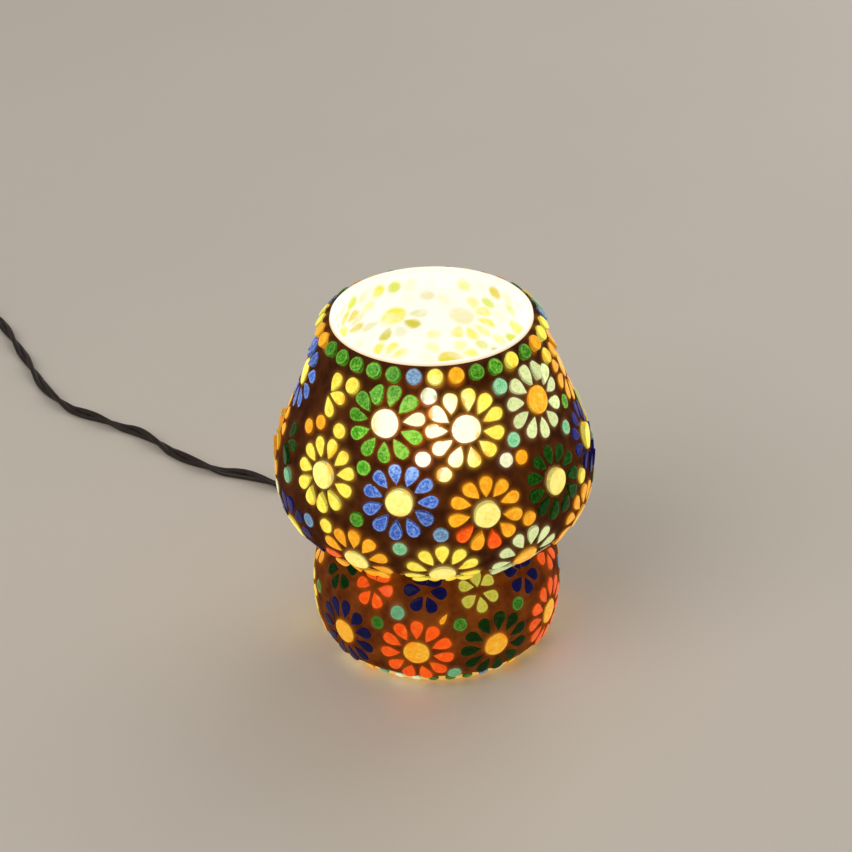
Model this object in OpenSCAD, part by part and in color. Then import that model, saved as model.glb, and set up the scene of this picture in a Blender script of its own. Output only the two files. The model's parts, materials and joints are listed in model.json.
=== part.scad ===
// Mosaic glass table lamp. The lamp is one mushroom of blown opal glass, open at the foot and at the
// mouth. A dark grout bed covers its shade and its base and holds flat cut-glass tiles laid as flowers.
// A bayonet lamp holder stands in the neck, in a steel spider that is clamped above and below the neck.
//
// Origin: centre of the foot, on the table. +Z is up and the front is -Y. Azimuth 0 faces the front
// and grows towards +X. All lengths are millimetres.

/* [Glass body] */
// Thickness of the blown glass
glass_t = 2.4; // [2:0.1:2.8]
// Height at which the cable hole goes through the base
cable_hole_z = 13; // [12:0.5:14]

/* [Mosaic] */
// Thickness of the grout bed
bed_t = 0.9; // [0.6:0.1:1.2]
// Thickness of a glass tile
tile_t = 2; // [1.5:0.1:2.5]
// Petals round each full flower
petal_count = 11; // [9:1:11]
// Length of a petal
petal_l = 9.8; // [8:0.2:10]
// Widest part of a petal
petal_w = 6.3; // [5:0.1:6.4]
// Diameter of a flower's centre disc
disc_d = 12.4; // [10:0.2:12.4]
// Grout between a centre disc and its petals
disc_gap = 0.8; // [0.8:0.1:1.4]
// Petals round each small flower, which has no centre disc
small_count = 6; // [5:1:6]
// Length of a small flower's petal
small_petal_l = 8; // [7:0.2:8.4]
// Diameter of the dots of the rim row and between the flowers
dot_d = 7.2; // [6:0.1:7.4]
// Dots round the mouth
rim_dots = 34; // [30:1:34]
// Diameter of the dots round the foot
foot_dot_d = 5; // [4:0.1:5]
// Dots round the foot
foot_dots = 40; // [36:1:40]

/* [Lamp holder] */
// Inner radius of the holder's barrel
barrel_r = 11.3; // [11.2:0.1:11.4]
// How far the plungers go down under the bulb
plunger_travel = 2; // [1:0.5:2]
// Radius of the bulb's envelope
envelope_r = 22.5; // [20:0.5:23]

/* [Supply cord] */
// Width of the twisted flat cord
cord_w = 5.4; // [5:0.1:5.6]
// Turns side by side in the coil
coil_rows = 4; // [3:1:4]
// Mean radius of the coil's turns
coil_r = 32; // [31:0.5:32]

/* [Hidden] */

$fn = 64;
glue = 0.05;          // clearance between the glass and the bed
tile_gap = 0.1;       // clearance between the bed and a tile's back
steps = 3;            // straight steps between two points of the profile
far = 200;            // longer than any cut has to be

// Outside of the glass, [radius, height] from the foot to the rim of the mouth
PROFILE = [
    [46.3, 0], [48.9, 4], [51.6, 9], [53.6, 16], [54.3, 24], [54.1, 33], [52.9, 40], [50.2, 46],
    [45.5, 51], [40.6, 54.5], [38.4, 58.5], [40.2, 62.5], [46, 65.4], [54, 67.6], [61.5, 70.8],
    [66.8, 76], [69.2, 86], [68.2, 98], [64.2, 110.5], [58.9, 124], [53, 138.5], [47.8, 151.5],
    [45.2, 160], [44.4, 164.5]
];

// A smooth curve through points, with n straight steps between each two of them
function curve_point(a, b, c, d, t) =
    0.5 * (2 * b + (c - a) * t + (2 * a - 5 * b + 4 * c - d) * t * t
           + (3 * b - a - 3 * c + d) * t * t * t);
function smooth(p, n) = [
    for (i = [0 : len(p) - 2])
        let (
            a = i == 0 ? 2 * p[0] - p[1] : p[i - 1],
            d = i == len(p) - 2 ? 2 * p[i + 1] - p[i] : p[i + 2]
        )
        for (k = [0 : n - 1]) curve_point(a, p[i], p[i + 1], d, k / n),
    p[len(p) - 1]
];

// Unit vector along a path at its point i, and the path moved sideways to its outer side by d
function unit(v) = v / norm(v);
function tangent(p, i) = unit(p[min(i + 1, len(p) - 1)] - p[max(i - 1, 0)]);
function shifted(p, d) = [for (i = [0 : len(p) - 1]) let (t = tangent(p, i)) p[i] + d * [t.y, -t.x]];
function between(p, low, high) = [for (q = p) if (q.y >= low && q.y <= high) q];
function reversed(p) = [for (i = [len(p) - 1 : -1 : 0]) p[i]];
function along(p) = [
    for (i = 0, s = 0; i < len(p); s = s + (i < len(p) - 1 ? norm(p[i + 1] - p[i]) : 0), i = i + 1) s
];

GLASS = smooth(PROFILE, steps);

// Inside of the glass, from the foot's flat ring up
foot_inner_r = PROFILE[0].x - 1.2 * glass_t;
INNER = between(shifted(GLASS, -glass_t), 2, far);

// The surface that the tiles' backs lie on, and its height, radius and lean by distance along it
TILE_PATH = shifted(GLASS, glue + bed_t + tile_gap);
TILE_S = along(TILE_PATH);
S_BY_Z = [for (i = [0 : len(TILE_PATH) - 1]) [TILE_PATH[i].y, TILE_S[i]]];
R_BY_S = [for (i = [0 : len(TILE_PATH) - 1]) [TILE_S[i], TILE_PATH[i].x]];
Z_BY_S = [for (i = [0 : len(TILE_PATH) - 1]) [TILE_S[i], TILE_PATH[i].y]];
LEAN_BY_S = [
    for (i = [0 : len(TILE_PATH) - 1])
        let (t = tangent(TILE_PATH, i)) [TILE_S[i], atan2(-t.x, t.y)]
];

// Full flowers: [azimuth, height, petal glass, disc glass, turn of its first petal, odd petals as
// [number, glass]]
FLOWERS = [
    // upper ring of the shade
    [-88, 137.5, "blue", "yellow", 5], [-22, 139, "green", "cream", 11, [[2, "mint"]]],
    [14, 137.2, "yellow", "cream", 9], [53, 138.5, "mint", "amber", -10], [92, 136, "orange", "amber", 3],
    [128, 139, "green", "yellow", 4], [164, 137.5, "yellow", "amber", 1], [-160, 139, "navy", "cream", 6],
    [-124, 139, "orange", "yellow", 5],
    // middle ring of the shade
    [-96, 106.5, "orange", "amber", 7], [-46, 111, "yellow", "cream", 4],
    [-13.2, 108.5, "blue", "cream", -12], [18, 102, "orange", "cream", 5, [[5, "red"], [7, "red"]]],
    [49, 104.5, "emerald", "cream", 2], [80, 107, "navy", "yellow", 9], [111, 104.5, "yellow", "cream", 0],
    [142, 107, "red", "yellow", 5], [172, 106, "mint", "amber", 8], [-156, 107, "yellow", "cream", 3],
    [-126, 106, "blue", "yellow", 10],
    // lower ring of the shade
    [-63, 76.5, "navy", "yellow", 6], [-30, 77, "orange", "cream", 3, [[8, "red"]]],
    [2, 74.5, "yellow", "cream", -1], [34, 75, "mint", "amber", 7], [65, 77, "orange", "amber", 2],
    [96, 74.5, "blue", "yellow", 9], [125, 75.5, "green", "cream", 8], [153.5, 75, "orange", "yellow", 1],
    [-177.5, 74.5, "navy", "amber", 8], [-149, 74.5, "mint", "amber", 5],
    [-120.5, 74.5, "red", "yellow", 10], [-92, 74.5, "yellow", "amber", 3],
    // ring round the base
    [-48, 22.6, "navy", "amber", 4], [-10, 22.8, "red", "amber", 1], [27, 22.6, "emerald", "amber", 8],
    [63, 22.6, "red", "amber", 9], [103, 23, "orange", "yellow", 2], [142, 22.8, "navy", "amber", 7],
    [-177, 23, "red", "yellow", 5], [-133, 22.8, "emerald", "yellow", 0], [-92, 23, "yellow", "amber", 8]
];

// Small flowers under the neck: [azimuth, height, petal glass, turn of its first petal]
SMALL_FLOWERS = [
    [-83, 48, "orange", 10], [-57, 48.2, "emerald", 5], [-33.4, 48.3, "red", 30],
    [-6.2, 49.6, "navy", 34], [21, 48.3, "olive", 0], [48.5, 48.2, "navy", 0], [73, 48, "red", 20],
    [99, 48.2, "emerald", 8], [125, 48.3, "olive", 26], [150, 48.2, "navy", 0], [175, 48, "orange", 15],
    [-159, 48.3, "emerald", 30], [-134, 48.2, "red", 12], [-109, 48, "olive", 0]
];

// Petals in a fan with no disc: [azimuth and height of the fan's point, glass, petal directions]
FANS = [
    [-57, 142.6, "yellow", [30, 88, 146]],
    [-76, 111, "emerald", [25, 80, 135]]
];

// Single chips, smaller than a petal: [azimuth, height, glass, direction of its point]
CHIPS = [
    [2.6, 39.9, "orange", 215], [-122.5, 40.3, "yellow", 150]
];
chip_l = 6;
chip_w = 3;

// Dots between the flowers: [azimuth, height, glass]
LOOSE_DOTS = [
    // shade, between the rim row and the upper ring
    [-41.8, 149.9, "yellow"], [-2.2, 151.2, "white"], [33.5, 150.5, "mint"], [73, 149.5, "yellow"],
    [110, 151, "mint"], [146, 150.5, "green"], [-178, 151, "orange"], [-142, 151, "white"],
    [-106, 151, "mint"],
    // shade, between the upper and the middle ring
    [-43.5, 130.5, "yellow"], [-55.3, 129.8, "orange"], [-62.2, 124.9, "orange"], [-4.8, 126.3, "white"],
    [3.5, 120, "yellow"], [34.3, 128.3, "mint"], [29, 121.5, "white"], [36, 120.5, "orange"],
    [-28.7, 119.6, "green"], [65.5, 120, "mint"], [73, 128, "green"], [96, 116.3, "green"],
    [110, 124, "orange"], [126, 119, "yellow"], [146, 126, "mint"], [156.5, 119.5, "blue"],
    [179, 123.7, "yellow"], [-142, 126, "green"], [-140.5, 119, "orange"], [-106, 125.5, "yellow"],
    // shade, between the middle and the lower ring
    [-66.5, 100, "mint"], [-41.5, 90, "yellow"], [-50.4, 88, "blue"], [-28.6, 98.2, "green"],
    [-12.7, 88.2, "mint"], [1.5, 95.4, "blue"], [34, 95, "orange"], [65, 97.5, "yellow"],
    [81, 86.5, "green"], [95, 94.5, "mint"], [110.5, 85, "orange"], [127, 96, "white"],
    [140, 86.5, "blue"], [157, 95.5, "yellow"], [168, 86.5, "green"], [-171, 95, "orange"],
    [-164, 86, "yellow"], [-141, 96, "mint"], [-134.5, 86, "green"], [-111.5, 94, "yellow"],
    [-106, 86.5, "blue"], [-81.3, 93.6, "orange"], [-78.2, 86.4, "white"],
    // base, between its flowers
    [-71.5, 33.5, "green"], [-71.5, 12.5, "orange"], [-28.5, 35, "green"], [-19, 41.4, "mint"],
    [10, 36.8, "green"], [7.2, 10.6, "mint"], [39.8, 38.7, "green"], [84, 36, "blue"],
    [84, 10.5, "yellow"], [122, 35.5, "yellow"],
    [122.5, 10.5, "mint"], [162.5, 36, "green"], [162.5, 11, "orange"], [-155, 34, "mint"],
    [-112.5, 34, "yellow"], [-112.5, 11.5, "green"]
];

// Glass of the rim row and of the foot row, repeated round the lamp from the azimuth 0 dot
RIM_ROW = [
    "yellow", "orange", "green", "green", "yellow", "green", "orange", "yellow", "yellow",
    "blue", "mint", "yellow", "green", "orange", "orange", "yellow", "green", "mint", "yellow",
    "green", "yellow", "orange", "green", "blue", "yellow", "yellow", "orange", "orange", "green",
    "green", "green", "green", "green", "blue"
];
FOOT_ROW = [
    "green", "green", "green", "blue", "white", "orange", "mint", "yellow", "green", "orange",
    "mint", "yellow", "blue", "green", "white", "white", "orange", "mint", "white", "white"
];
rim_row_z = 159;
foot_row_z = 3.9;
foot_row_start = -3;
foot_dot_t = 1.2;        // the foot row's dots are thinner than the others

petal_ring = disc_d / 2 + disc_gap + petal_l / 2;
small_ring = small_petal_l / 2 + 1.7;
upper_flower_size = 1.045;
upper_ring_z = 130;      // the upper ring lies above this height

module petal(length, width) {
    points = [
        for (i = [0 : 9])
            let (t = 36 * i) [width / 1.54 * sin(t) * sin(t / 2), -length / 2 * cos(t)]
    ];
    linear_extrude(tile_t) polygon(points);
}

module on_surface(azimuth, s, turn) {
    rotate([0, 0, azimuth])
        translate([0, -lookup(s, R_BY_S), lookup(s, Z_BY_S)])
            rotate([90 - lookup(s, LEAN_BY_S), 0, 0])
                rotate([0, 0, -turn])
                    children();
}

// A tile at a distance from a flower's centre, in a direction from it: 0 is up and 90 is right
module around(azimuth, height, distance, direction) {
    s = lookup(height, S_BY_Z) + distance * cos(direction);
    aside = distance * sin(direction) / lookup(s, R_BY_S) * 180 / PI;
    on_surface(azimuth + aside, s, direction) children();
}

function petal_glass(flower, i) =
    let (found = [for (o = len(flower) > 5 ? flower[5] : []) if (o[0] == i) o[1]])
    len(found) > 0 ? found[0] : flower[2];

// The upper ring's flowers are a little larger than the others
function flower_size(flower) = flower[1] > upper_ring_z ? upper_flower_size : 1;

module petals(glass) {
    for (f = FLOWERS, i = [0 : petal_count - 1])
        if (petal_glass(f, i) == glass)
            around(f[0], f[1], petal_ring * flower_size(f), i * 360 / petal_count + f[4])
                petal(petal_l * flower_size(f), petal_w * flower_size(f));
    for (f = SMALL_FLOWERS, i = [0 : small_count - 1])
        if (f[2] == glass)
            around(f[0], f[1], small_ring, i * 360 / small_count + f[3])
                petal(small_petal_l, petal_w * 0.94);
    for (f = FANS, direction = f[3])
        if (f[2] == glass)
            around(f[0], f[1], small_ring + 1, direction) petal(petal_l, petal_w);
    for (c = CHIPS)
        if (c[2] == glass) around(c[0], c[1], 0, c[3]) petal(chip_l, chip_w);
}

module round_tile(azimuth, height, diameter) {
    on_surface(azimuth, lookup(height, S_BY_Z), 0) cylinder(h = tile_t, d = diameter, $fn = 24);
}

module discs(glass) {
    for (f = FLOWERS)
        if (f[3] == glass) round_tile(f[0], f[1], disc_d * flower_size(f));
}

module dots(glass) {
    for (d = LOOSE_DOTS)
        if (d[2] == glass) round_tile(d[0], d[1], dot_d);
    for (i = [0 : rim_dots - 1])
        if (RIM_ROW[i % len(RIM_ROW)] == glass) round_tile(1 + i * 360 / rim_dots, rim_row_z, dot_d);
    for (i = [0 : foot_dots - 1])
        if (FOOT_ROW[i % len(FOOT_ROW)] == glass)
            rotate([0, 0, foot_row_start + i * 360 / foot_dots]) foot_dot();
}

// The foot row lies on the bare glass below the grout
module foot_dot() {
    path = shifted(GLASS, glue + tile_gap);
    r = lookup(foot_row_z, [for (q = path) [q.y, q.x]]);
    lean = atan2(PROFILE[1].x - PROFILE[0].x, PROFILE[1].y - PROFILE[0].y);
    translate([0, -r, foot_row_z])
        rotate([90 + lean, 0, 0]) cylinder(h = foot_dot_t, d = foot_dot_d, $fn = 24);
}

module petals_yellow() { color([0.98, 0.82, 0.15]) petals("yellow"); }
module petals_orange() { color([0.95, 0.5, 0.08]) petals("orange"); }
module petals_red() { color([0.85, 0.12, 0.05]) petals("red"); }
module petals_green() { color([0.15, 0.55, 0.12]) petals("green"); }
module petals_emerald() { color([0.04, 0.28, 0.08]) petals("emerald"); }
module petals_blue() { color([0.12, 0.28, 0.75]) petals("blue"); }
module petals_navy() { color([0.05, 0.07, 0.35]) petals("navy"); }
module petals_mint() { color([0.65, 0.85, 0.65]) petals("mint"); }
module petals_olive() { color([0.65, 0.68, 0.3]) petals("olive"); }
module discs_cream() { color([1, 0.93, 0.65]) discs("cream"); }
module discs_yellow() { color([0.98, 0.85, 0.35]) discs("yellow"); }
module discs_amber() { color([0.95, 0.6, 0.15]) discs("amber"); }
module dots_yellow() { color([0.98, 0.8, 0.15]) dots("yellow"); }
module dots_orange() { color([0.95, 0.52, 0.08]) dots("orange"); }
module dots_green() { color([0.15, 0.5, 0.12]) dots("green"); }
module dots_mint() { color([0.5, 0.8, 0.65]) dots("mint"); }
module dots_blue() { color([0.25, 0.45, 0.7]) dots("blue"); }
module dots_white() { color([0.98, 0.95, 0.85]) dots("white"); }

// Cable hole: level, through the wall of the base, low at the back
cable_azimuth = -155;
cable_hole_r = 4;
cable_wall_r = lookup(cable_hole_z, [for (q = GLASS) [q.y, q.x]]);

module toward_cable_hole() {
    translate([0, 0, cable_hole_z]) rotate([0, 0, cable_azimuth]) rotate([90, 0, 0]) children();
}

module cable_hole(radius) {
    toward_cable_hole() cylinder(h = far, r = radius);
}

module glass_body() {
    color([0.96, 0.94, 0.9])
        difference() {
            rotate_extrude() polygon(concat(GLASS, reversed(INNER), [[foot_inner_r, 0]]));
            cable_hole(cable_hole_r);
        }
}

// Where the beds end: the base's above the foot row, and both short of the bare neck
base_bed_low_z = 7;
base_bed_high_z = 54;
shade_bed_low_z = 63;
shade_bed_high_z = 163.7;

module bed(low, high) {
    inner = between(shifted(GLASS, glue), low, high);
    outer = between(shifted(GLASS, glue + bed_t), low, high);
    rotate_extrude() polygon(concat(outer, reversed(inner)));
}

module shade_bed() { color([0.16, 0.09, 0.06]) bed(shade_bed_low_z, shade_bed_high_z); }
module base_bed() {
    color([0.16, 0.09, 0.06])
        difference() {
            bed(base_bed_low_z, base_bed_high_z);
            cable_hole(cable_hole_r + 2.2);
        }
}

// Neck clamp: a spider lies above the neck on a gasket, a bar with pads presses up below it, and two
// long screws draw them together
gasket_top_z = 65.6;
gasket_inner_r = 37.2;
spider_z = gasket_top_z + 0.05;
spider_h = 1.5;
spider_r = 40.1;
bar_z = 43.4;
bar_h = 2;
pad_h = 2.2;
bar_reach = 39;
clamp_screw_x = 28;
clamp_screw_r = 1.5;
hub_hole_r = 14.6;

module ring(outer, inner, height) {
    difference() {
        cylinder(h = height, r = outer);
        translate([0, 0, -1]) cylinder(h = height + 2, r = inner);
    }
}

module at_clamp_screws(z) {
    for (side = [-1, 1]) translate([side * clamp_screw_x, 0, z]) children();
}

// The gasket's underside follows the glass over the neck
module neck_gasket() {
    outer_r = spider_r - 0.2;
    seat = [for (q = between(shifted(GLASS, -glass_t - glue), 61, 68)) [q.x, q.y]];
    color([0.2, 0.2, 0.2])
        rotate_extrude()
            polygon(concat(
                [for (r = [gasket_inner_r : 0.3 : outer_r]) [r, lookup(r, seat)]],
                [[outer_r, gasket_top_z], [gasket_inner_r, gasket_top_z]]
            ));
}

module neck_spider() {
    color("silver")
        translate([0, 0, spider_z])
            difference() {
                union() {
                    ring(spider_r, spider_r - 5, spider_h);
                    cylinder(h = spider_h, r = 20);
                    for (turn = [0, 90])
                        rotate([0, 0, turn])
                            translate([-spider_r + 2, -4.5, 0]) cube([2 * spider_r - 4, 9, spider_h]);
                }
                translate([0, 0, -1]) cylinder(h = spider_h + 2, r = hub_hole_r);
                at_clamp_screws(-1) cylinder(h = spider_h + 2, r = clamp_screw_r + 0.2, $fn = 24);
            }
}

module clamp_bar() {
    color("silver")
        translate([0, 0, bar_z])
            difference() {
                union() {
                    cylinder(h = bar_h, r = 23);
                    translate([-bar_reach, -5, 0]) cube([2 * bar_reach, 10, bar_h]);
                }
                translate([0, 0, -1]) cylinder(h = bar_h + 2, r = 18.5);
                at_clamp_screws(-1) cylinder(h = bar_h + 2, r = clamp_screw_r + 0.2, $fn = 24);
            }
}

module clamp_pads() {
    color([0.2, 0.2, 0.2])
        for (side = [-1, 1])
            translate([side * (bar_reach - 3.5) - 3.5, -5, bar_z + bar_h]) cube([7, 10, pad_h]);
}

module clamp_screws() {
    top = spider_z + spider_h;
    color([0.75, 0.75, 0.7]) {
        at_clamp_screws(bar_z - 4) cylinder(h = top - bar_z + 4, r = clamp_screw_r, $fn = 24);
        at_clamp_screws(top)
            difference() {
                cylinder(h = 2, r = 2.8, $fn = 32);
                translate([-4, -0.4, 1.1]) cube([8, 0.8, 1]);
            }
    }
}

module clamp_nuts() {
    color([0.75, 0.75, 0.7])
        at_clamp_screws(bar_z - 2.4)
            difference() {
                cylinder(h = 2.4, r = 3.2, $fn = 6);
                translate([0, 0, -1]) cylinder(h = 5, r = clamp_screw_r + glue, $fn = 24);
            }
}

// Bayonet lamp holder. Its barrel's flange carries the spider's hub and the shade ring screws down
// on it. The cam slots slope, so the sprung plungers keep the bulb's pins at the slots' high ends.
cap_bottom_z = 33;
cap_top_z = 51;
core_z = 51.1;
core_h = 9.4;
barrel_wall_r = 14.3;
barrel_top_z = 82;
flange_z = 60.6;
plunger_x = 5.5;
plunger_r = 2.42;
plunger_top_z = 63.95;
pin_z = 77;
pin_r = 1;
bulb_bottom_z = 64;

// Cam slot in the wall at -Y, seen from the front as [x, z]: it slopes down from the pin's seat and
// turns up to the mouth
slot_low_z = pin_z - plunger_travel - 1.7;
CAM_SLOT = [
    [-1.4, 75.5], [-1.4, 78.4], [0.3, 78.4], [3.1, 77.3], [3.1, barrel_top_z + 1],
    [7.3, barrel_top_z + 1], [7.3, slot_low_z], [5.4, slot_low_z], [0, 75.5]
];

module holder_cap() {
    color([0.16, 0.1, 0.07])
        rotate_extrude()
            polygon([
                [3.4, cap_bottom_z], [7.5, cap_bottom_z], [8.5, 36], [15, 40], [17, 43],
                [17, cap_top_z], [15, cap_top_z], [15, 44], [13.4, 41.6], [6, 37.6], [3.4, 37.6]
            ]);
}

module holder_core() {
    color([0.85, 0.83, 0.78])
        translate([0, 0, core_z])
            difference() {
                cylinder(h = core_h, r = 13.9);
                for (side = [-1, 1]) {
                    translate([side * plunger_x, 0, 2]) cylinder(h = far, r = plunger_r + 0.08, $fn = 32);
                    translate([side * 10.4 - 1.6, -2, -1]) cube([3.2, 4, 6]);
                }
            }
}

module holder_barrel() {
    color([0.16, 0.1, 0.07])
        difference() {
            union() {
                translate([0, 0, cap_top_z + 0.1]) cylinder(h = flange_z - cap_top_z, r = 17);
                translate([0, 0, flange_z]) cylinder(h = spider_z - flange_z - 0.05, r = 18);
                translate([0, 0, spider_z - 1]) cylinder(h = barrel_top_z - spider_z + 1, r = barrel_wall_r);
            }
            translate([0, 0, 40]) cylinder(h = far, r = barrel_r);
            translate([0, 0, 40]) cylinder(h = flange_z - 40, r = 14);
            for (turn = [0, 180])
                rotate([0, 0, turn])
                    rotate([90, 0, 0])
                        linear_extrude(20) polygon(CAM_SLOT);
        }
}

module shade_ring() {
    z = spider_z + spider_h + 0.05;
    color([0.16, 0.1, 0.07])
        difference() {
            translate([0, 0, z]) ring(19, barrel_wall_r + 0.1, 5);
            for (i = [0 : 23])
                rotate([0, 0, i * 15]) translate([19.3, 0, z - 1]) cylinder(h = 7, r = 0.8, $fn = 16);
        }
}

module terminals() {
    color([0.8, 0.65, 0.3])
        for (side = [-1, 1])
            translate([side * 10.4, 0, core_z]) {
                translate([-1.5, -1.9, 0]) cube([3, 3.8, 4.8]);
                translate([0, 0, -3]) cylinder(h = 3, r = 1.4, $fn = 24);
            }
}

module plungers() {
    color([0.8, 0.65, 0.3])
        for (side = [-1, 1])
            translate([side * plunger_x, 0, core_z + 6]) {
                cylinder(h = plunger_top_z - core_z - 6, r = plunger_r, $fn = 32);
            }
}

module plunger_springs() {
    color("silver")
        for (side = [-1, 1])
            translate([side * plunger_x, 0, core_z + 2.1]) ring(2.2, 1.7, 3.8, $fn = 24);
}

// Small round bulb with a bayonet cap
envelope_z = 112;
bulb_cap_top_z = 86;

module bulb_cap() {
    color([0.8, 0.8, 0.78])
        rotate_extrude()
            polygon([
                [10, bulb_bottom_z + 1.3], [11, bulb_bottom_z + 2.2], [11, bulb_cap_top_z],
                [10.6, bulb_cap_top_z], [10.6, bulb_bottom_z + 2.4], [10, bulb_bottom_z + 1.7]
            ]);
}

module bulb_insulator() {
    color([0.1, 0.1, 0.12])
        translate([0, 0, bulb_bottom_z + 0.6])
            difference() {
                union() {
                    cylinder(h = 2, r = 9.9);
                    translate([0, 0, 2]) cylinder(h = 3, r = 7);
                }
                for (side = [-1, 1])
                    translate([side * plunger_x, 0, -1]) cylinder(h = far, r = 2.05, $fn = 24);
            }
}

module bulb_contacts() {
    color([0.78, 0.78, 0.75])
        for (side = [-1, 1])
            translate([side * plunger_x, 0, bulb_bottom_z]) cylinder(h = 2, r = 2, $fn = 24);
}

module bulb_pins() {
    color([0.8, 0.65, 0.3])
        for (turn = [0, 180])
            rotate([0, 0, turn])
                translate([0, -11.05, pin_z]) rotate([90, 0, 0]) cylinder(h = 2.6, r = pin_r, $fn = 24);
}

module bulb_envelope() {
    neck_r = 10.3;
    outer = concat(
        [[neck_r, bulb_cap_top_z - 1.2], [neck_r, bulb_cap_top_z + 1], [11.3, bulb_cap_top_z + 3]],
        [for (a = [-60 : 10 : 80]) envelope_r * [cos(a), sin(a)] + [0, envelope_z]],
        [[0, envelope_z + envelope_r]]
    );
    wall = 0.8;
    inner = concat(
        [[neck_r - wall, bulb_cap_top_z - 1.2], [neck_r - wall, bulb_cap_top_z + 1.3],
         [10.7, bulb_cap_top_z + 3.6]],
        [for (a = [-58 : 10 : 82]) (envelope_r - wall) * [cos(a), sin(a)] + [0, envelope_z]],
        [[0, envelope_z + envelope_r - wall]]
    );
    color([0.95, 0.95, 0.92, 0.6]) rotate_extrude() polygon(concat(outer, reversed(inner)));
}

module bulb_stem() {
    color([0.85, 0.9, 0.9, 0.6])
        rotate_extrude()
            polygon([
                [0, bulb_cap_top_z - 1.2], [9, bulb_cap_top_z - 1.2], [9, bulb_cap_top_z - 0.4],
                [3, bulb_cap_top_z + 3], [2.2, bulb_cap_top_z + 14], [0, bulb_cap_top_z + 14]
            ]);
}

// The filament's ring of coiled wire stands on two lead wires beside the stem
module bulb_filament() {
    color([0.6, 0.6, 0.6]) {
        for (side = [-1, 1])
            translate([side * 8, 0, bulb_cap_top_z + 0.6]) cylinder(h = 25.5, r = 0.4, $fn = 16);
        translate([-8, 0, bulb_cap_top_z + 26]) rotate([0, 90, 0]) cylinder(h = 16, r = 0.7, $fn = 16);
    }
}

// Supply cord: a twisted flat twin flex, drawn as the round space it turns in
cord_r = cord_w / 2;
gland_l = 22;
gland_end = cable_wall_r + 2 + gland_l;
gland_exit = [-gland_end * sin(-cable_azimuth), -gland_end * cos(cable_azimuth), cable_hole_z];

// Route points of the cord's centre line from the gland to the switch, on to the coil, and from the
// coil to the plug
TO_SWITCH = [
    [-38.5, 82.5, 12.3], [-45, 94, 8.5], [-54, 104.5, 4.2], [-67, 113, 2.7], [-82, 121, 2.7],
    [-98, 129.5, 2.7], [-115, 137, 2.7], [-130, 147, 2.7], [-146, 164, 2.7], [-160, 177, 2.7],
    [-177, 188, 2.7], [-194, 200, 2.7], [-210, 219, 2.7], [-221, 242, 2.7], [-231, 265, 2.7],
    [-241, 287, 2.7], [-251, 307, 2.9], [-263, 320, 3.6], [-276, 326, 5.2], [-286, 327, 6]
];
TO_COIL = [
    [-346, 327, 6], [-356, 325, 4.8], [-366, 317, 3.6], [-372, 305, 3.3], [-374, 290, 3.6],
    [-374, 276, 3.7]
];
TO_PLUG = [
    [-368.6, 268, 9.1], [-368.6, 256, 9.1], [-369, 246, 9], [-369.5, 236, 6.6], [-370, 226, 3.9],
    [-370.4, 216, 3.2], [-370.6, 207, 4.6], [-370.3, 200, 7], [-370, 194, 8.6]
];
INSIDE = [
    [-20, 43, 13], [-16, 34, 14.5], [-11, 22, 18], [-6, 11, 23], [-2, 3, 29], [0, 0, 36]
];

cord_sides = 8;

// Rings of points round a route: each ring stands square to the route, with one side kept level
function ring_frame(p, i) =
    let (
        t = unit(p[min(i + 1, len(p) - 1)] - p[max(i - 1, 0)]),
        side = unit(cross([0, 0, 1], t))
    )
    [side, cross(t, side)];
function ring_points(p, r) = [
    for (i = [0 : len(p) - 1])
        let (f = ring_frame(p, i))
        for (k = [0 : cord_sides - 1])
            p[i] + r * cos((k + 0.5) * 360 / cord_sides) * f[0] + r * sin((k + 0.5) * 360 / cord_sides) * f[1]
];

module tube(route, r) {
    n = len(route);
    m = cord_sides;
    sides = [
        for (i = [0 : n - 2], k = [0 : m - 1])
            [i * m + k, i * m + (k + 1) % m, (i + 1) * m + (k + 1) % m, (i + 1) * m + k]
    ];
    caps = [[for (k = [m - 1 : -1 : 0]) k], [for (k = [0 : m - 1]) (n - 1) * m + k]];
    polyhedron(points = ring_points(route, r), faces = concat(sides, caps), convexity = 4);
}

module cord_gland() {
    wall = cable_wall_r;
    color([0.08, 0.08, 0.08])
        toward_cable_hole()
            rotate_extrude($fn = 32)
                polygon([
                    [2.8, wall - 8], [5.6, wall - 8], [5.6, wall - 5.2], [cable_hole_r - 0.1, wall - 5.2],
                    [cable_hole_r - 0.1, wall + 1.8], [5.9, wall + 1.8], [5.9, wall + 4],
                    [5.2, wall + 5], [3.6, wall + 2 + gland_l], [2.8, wall + 2 + gland_l]
                ]);
}

module inner_lead() { color([0.1, 0.07, 0.05]) tube(smooth(INSIDE, 3), 2.4); }

module cord_run() {
    color([0.1, 0.07, 0.05]) {
        tube(concat([gland_exit], TO_SWITCH), cord_r);
        tube(TO_COIL, cord_r);
        tube(TO_PLUG, cord_r);
    }
}

COIL_CENTRE = [-374 + coil_r + (coil_rows - 1) / 2 * cord_w, 268];
coil_z = 1;

// The coil's lower layer has all the rows and its upper layer leaves the outermost one free, where the
// end to the plug comes off
module cord_coil() {
    inner = coil_r - coil_rows * cord_w / 2;
    outer = coil_r + coil_rows * cord_w / 2;
    color([0.1, 0.07, 0.05])
        translate([COIL_CENTRE.x, COIL_CENTRE.y, coil_z])
            rotate_extrude()
                polygon([
                    [inner + 1.5, 0], [outer - 1.5, 0], [outer, 1.5], [outer, cord_w],
                    [outer - cord_w, cord_w], [outer - cord_w, 2 * cord_w - 1.5],
                    [outer - cord_w - 1.5, 2 * cord_w], [inner + 1.5, 2 * cord_w],
                    [inner, 2 * cord_w - 1.5], [inner, 1.5]
                ]);
}

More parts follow.
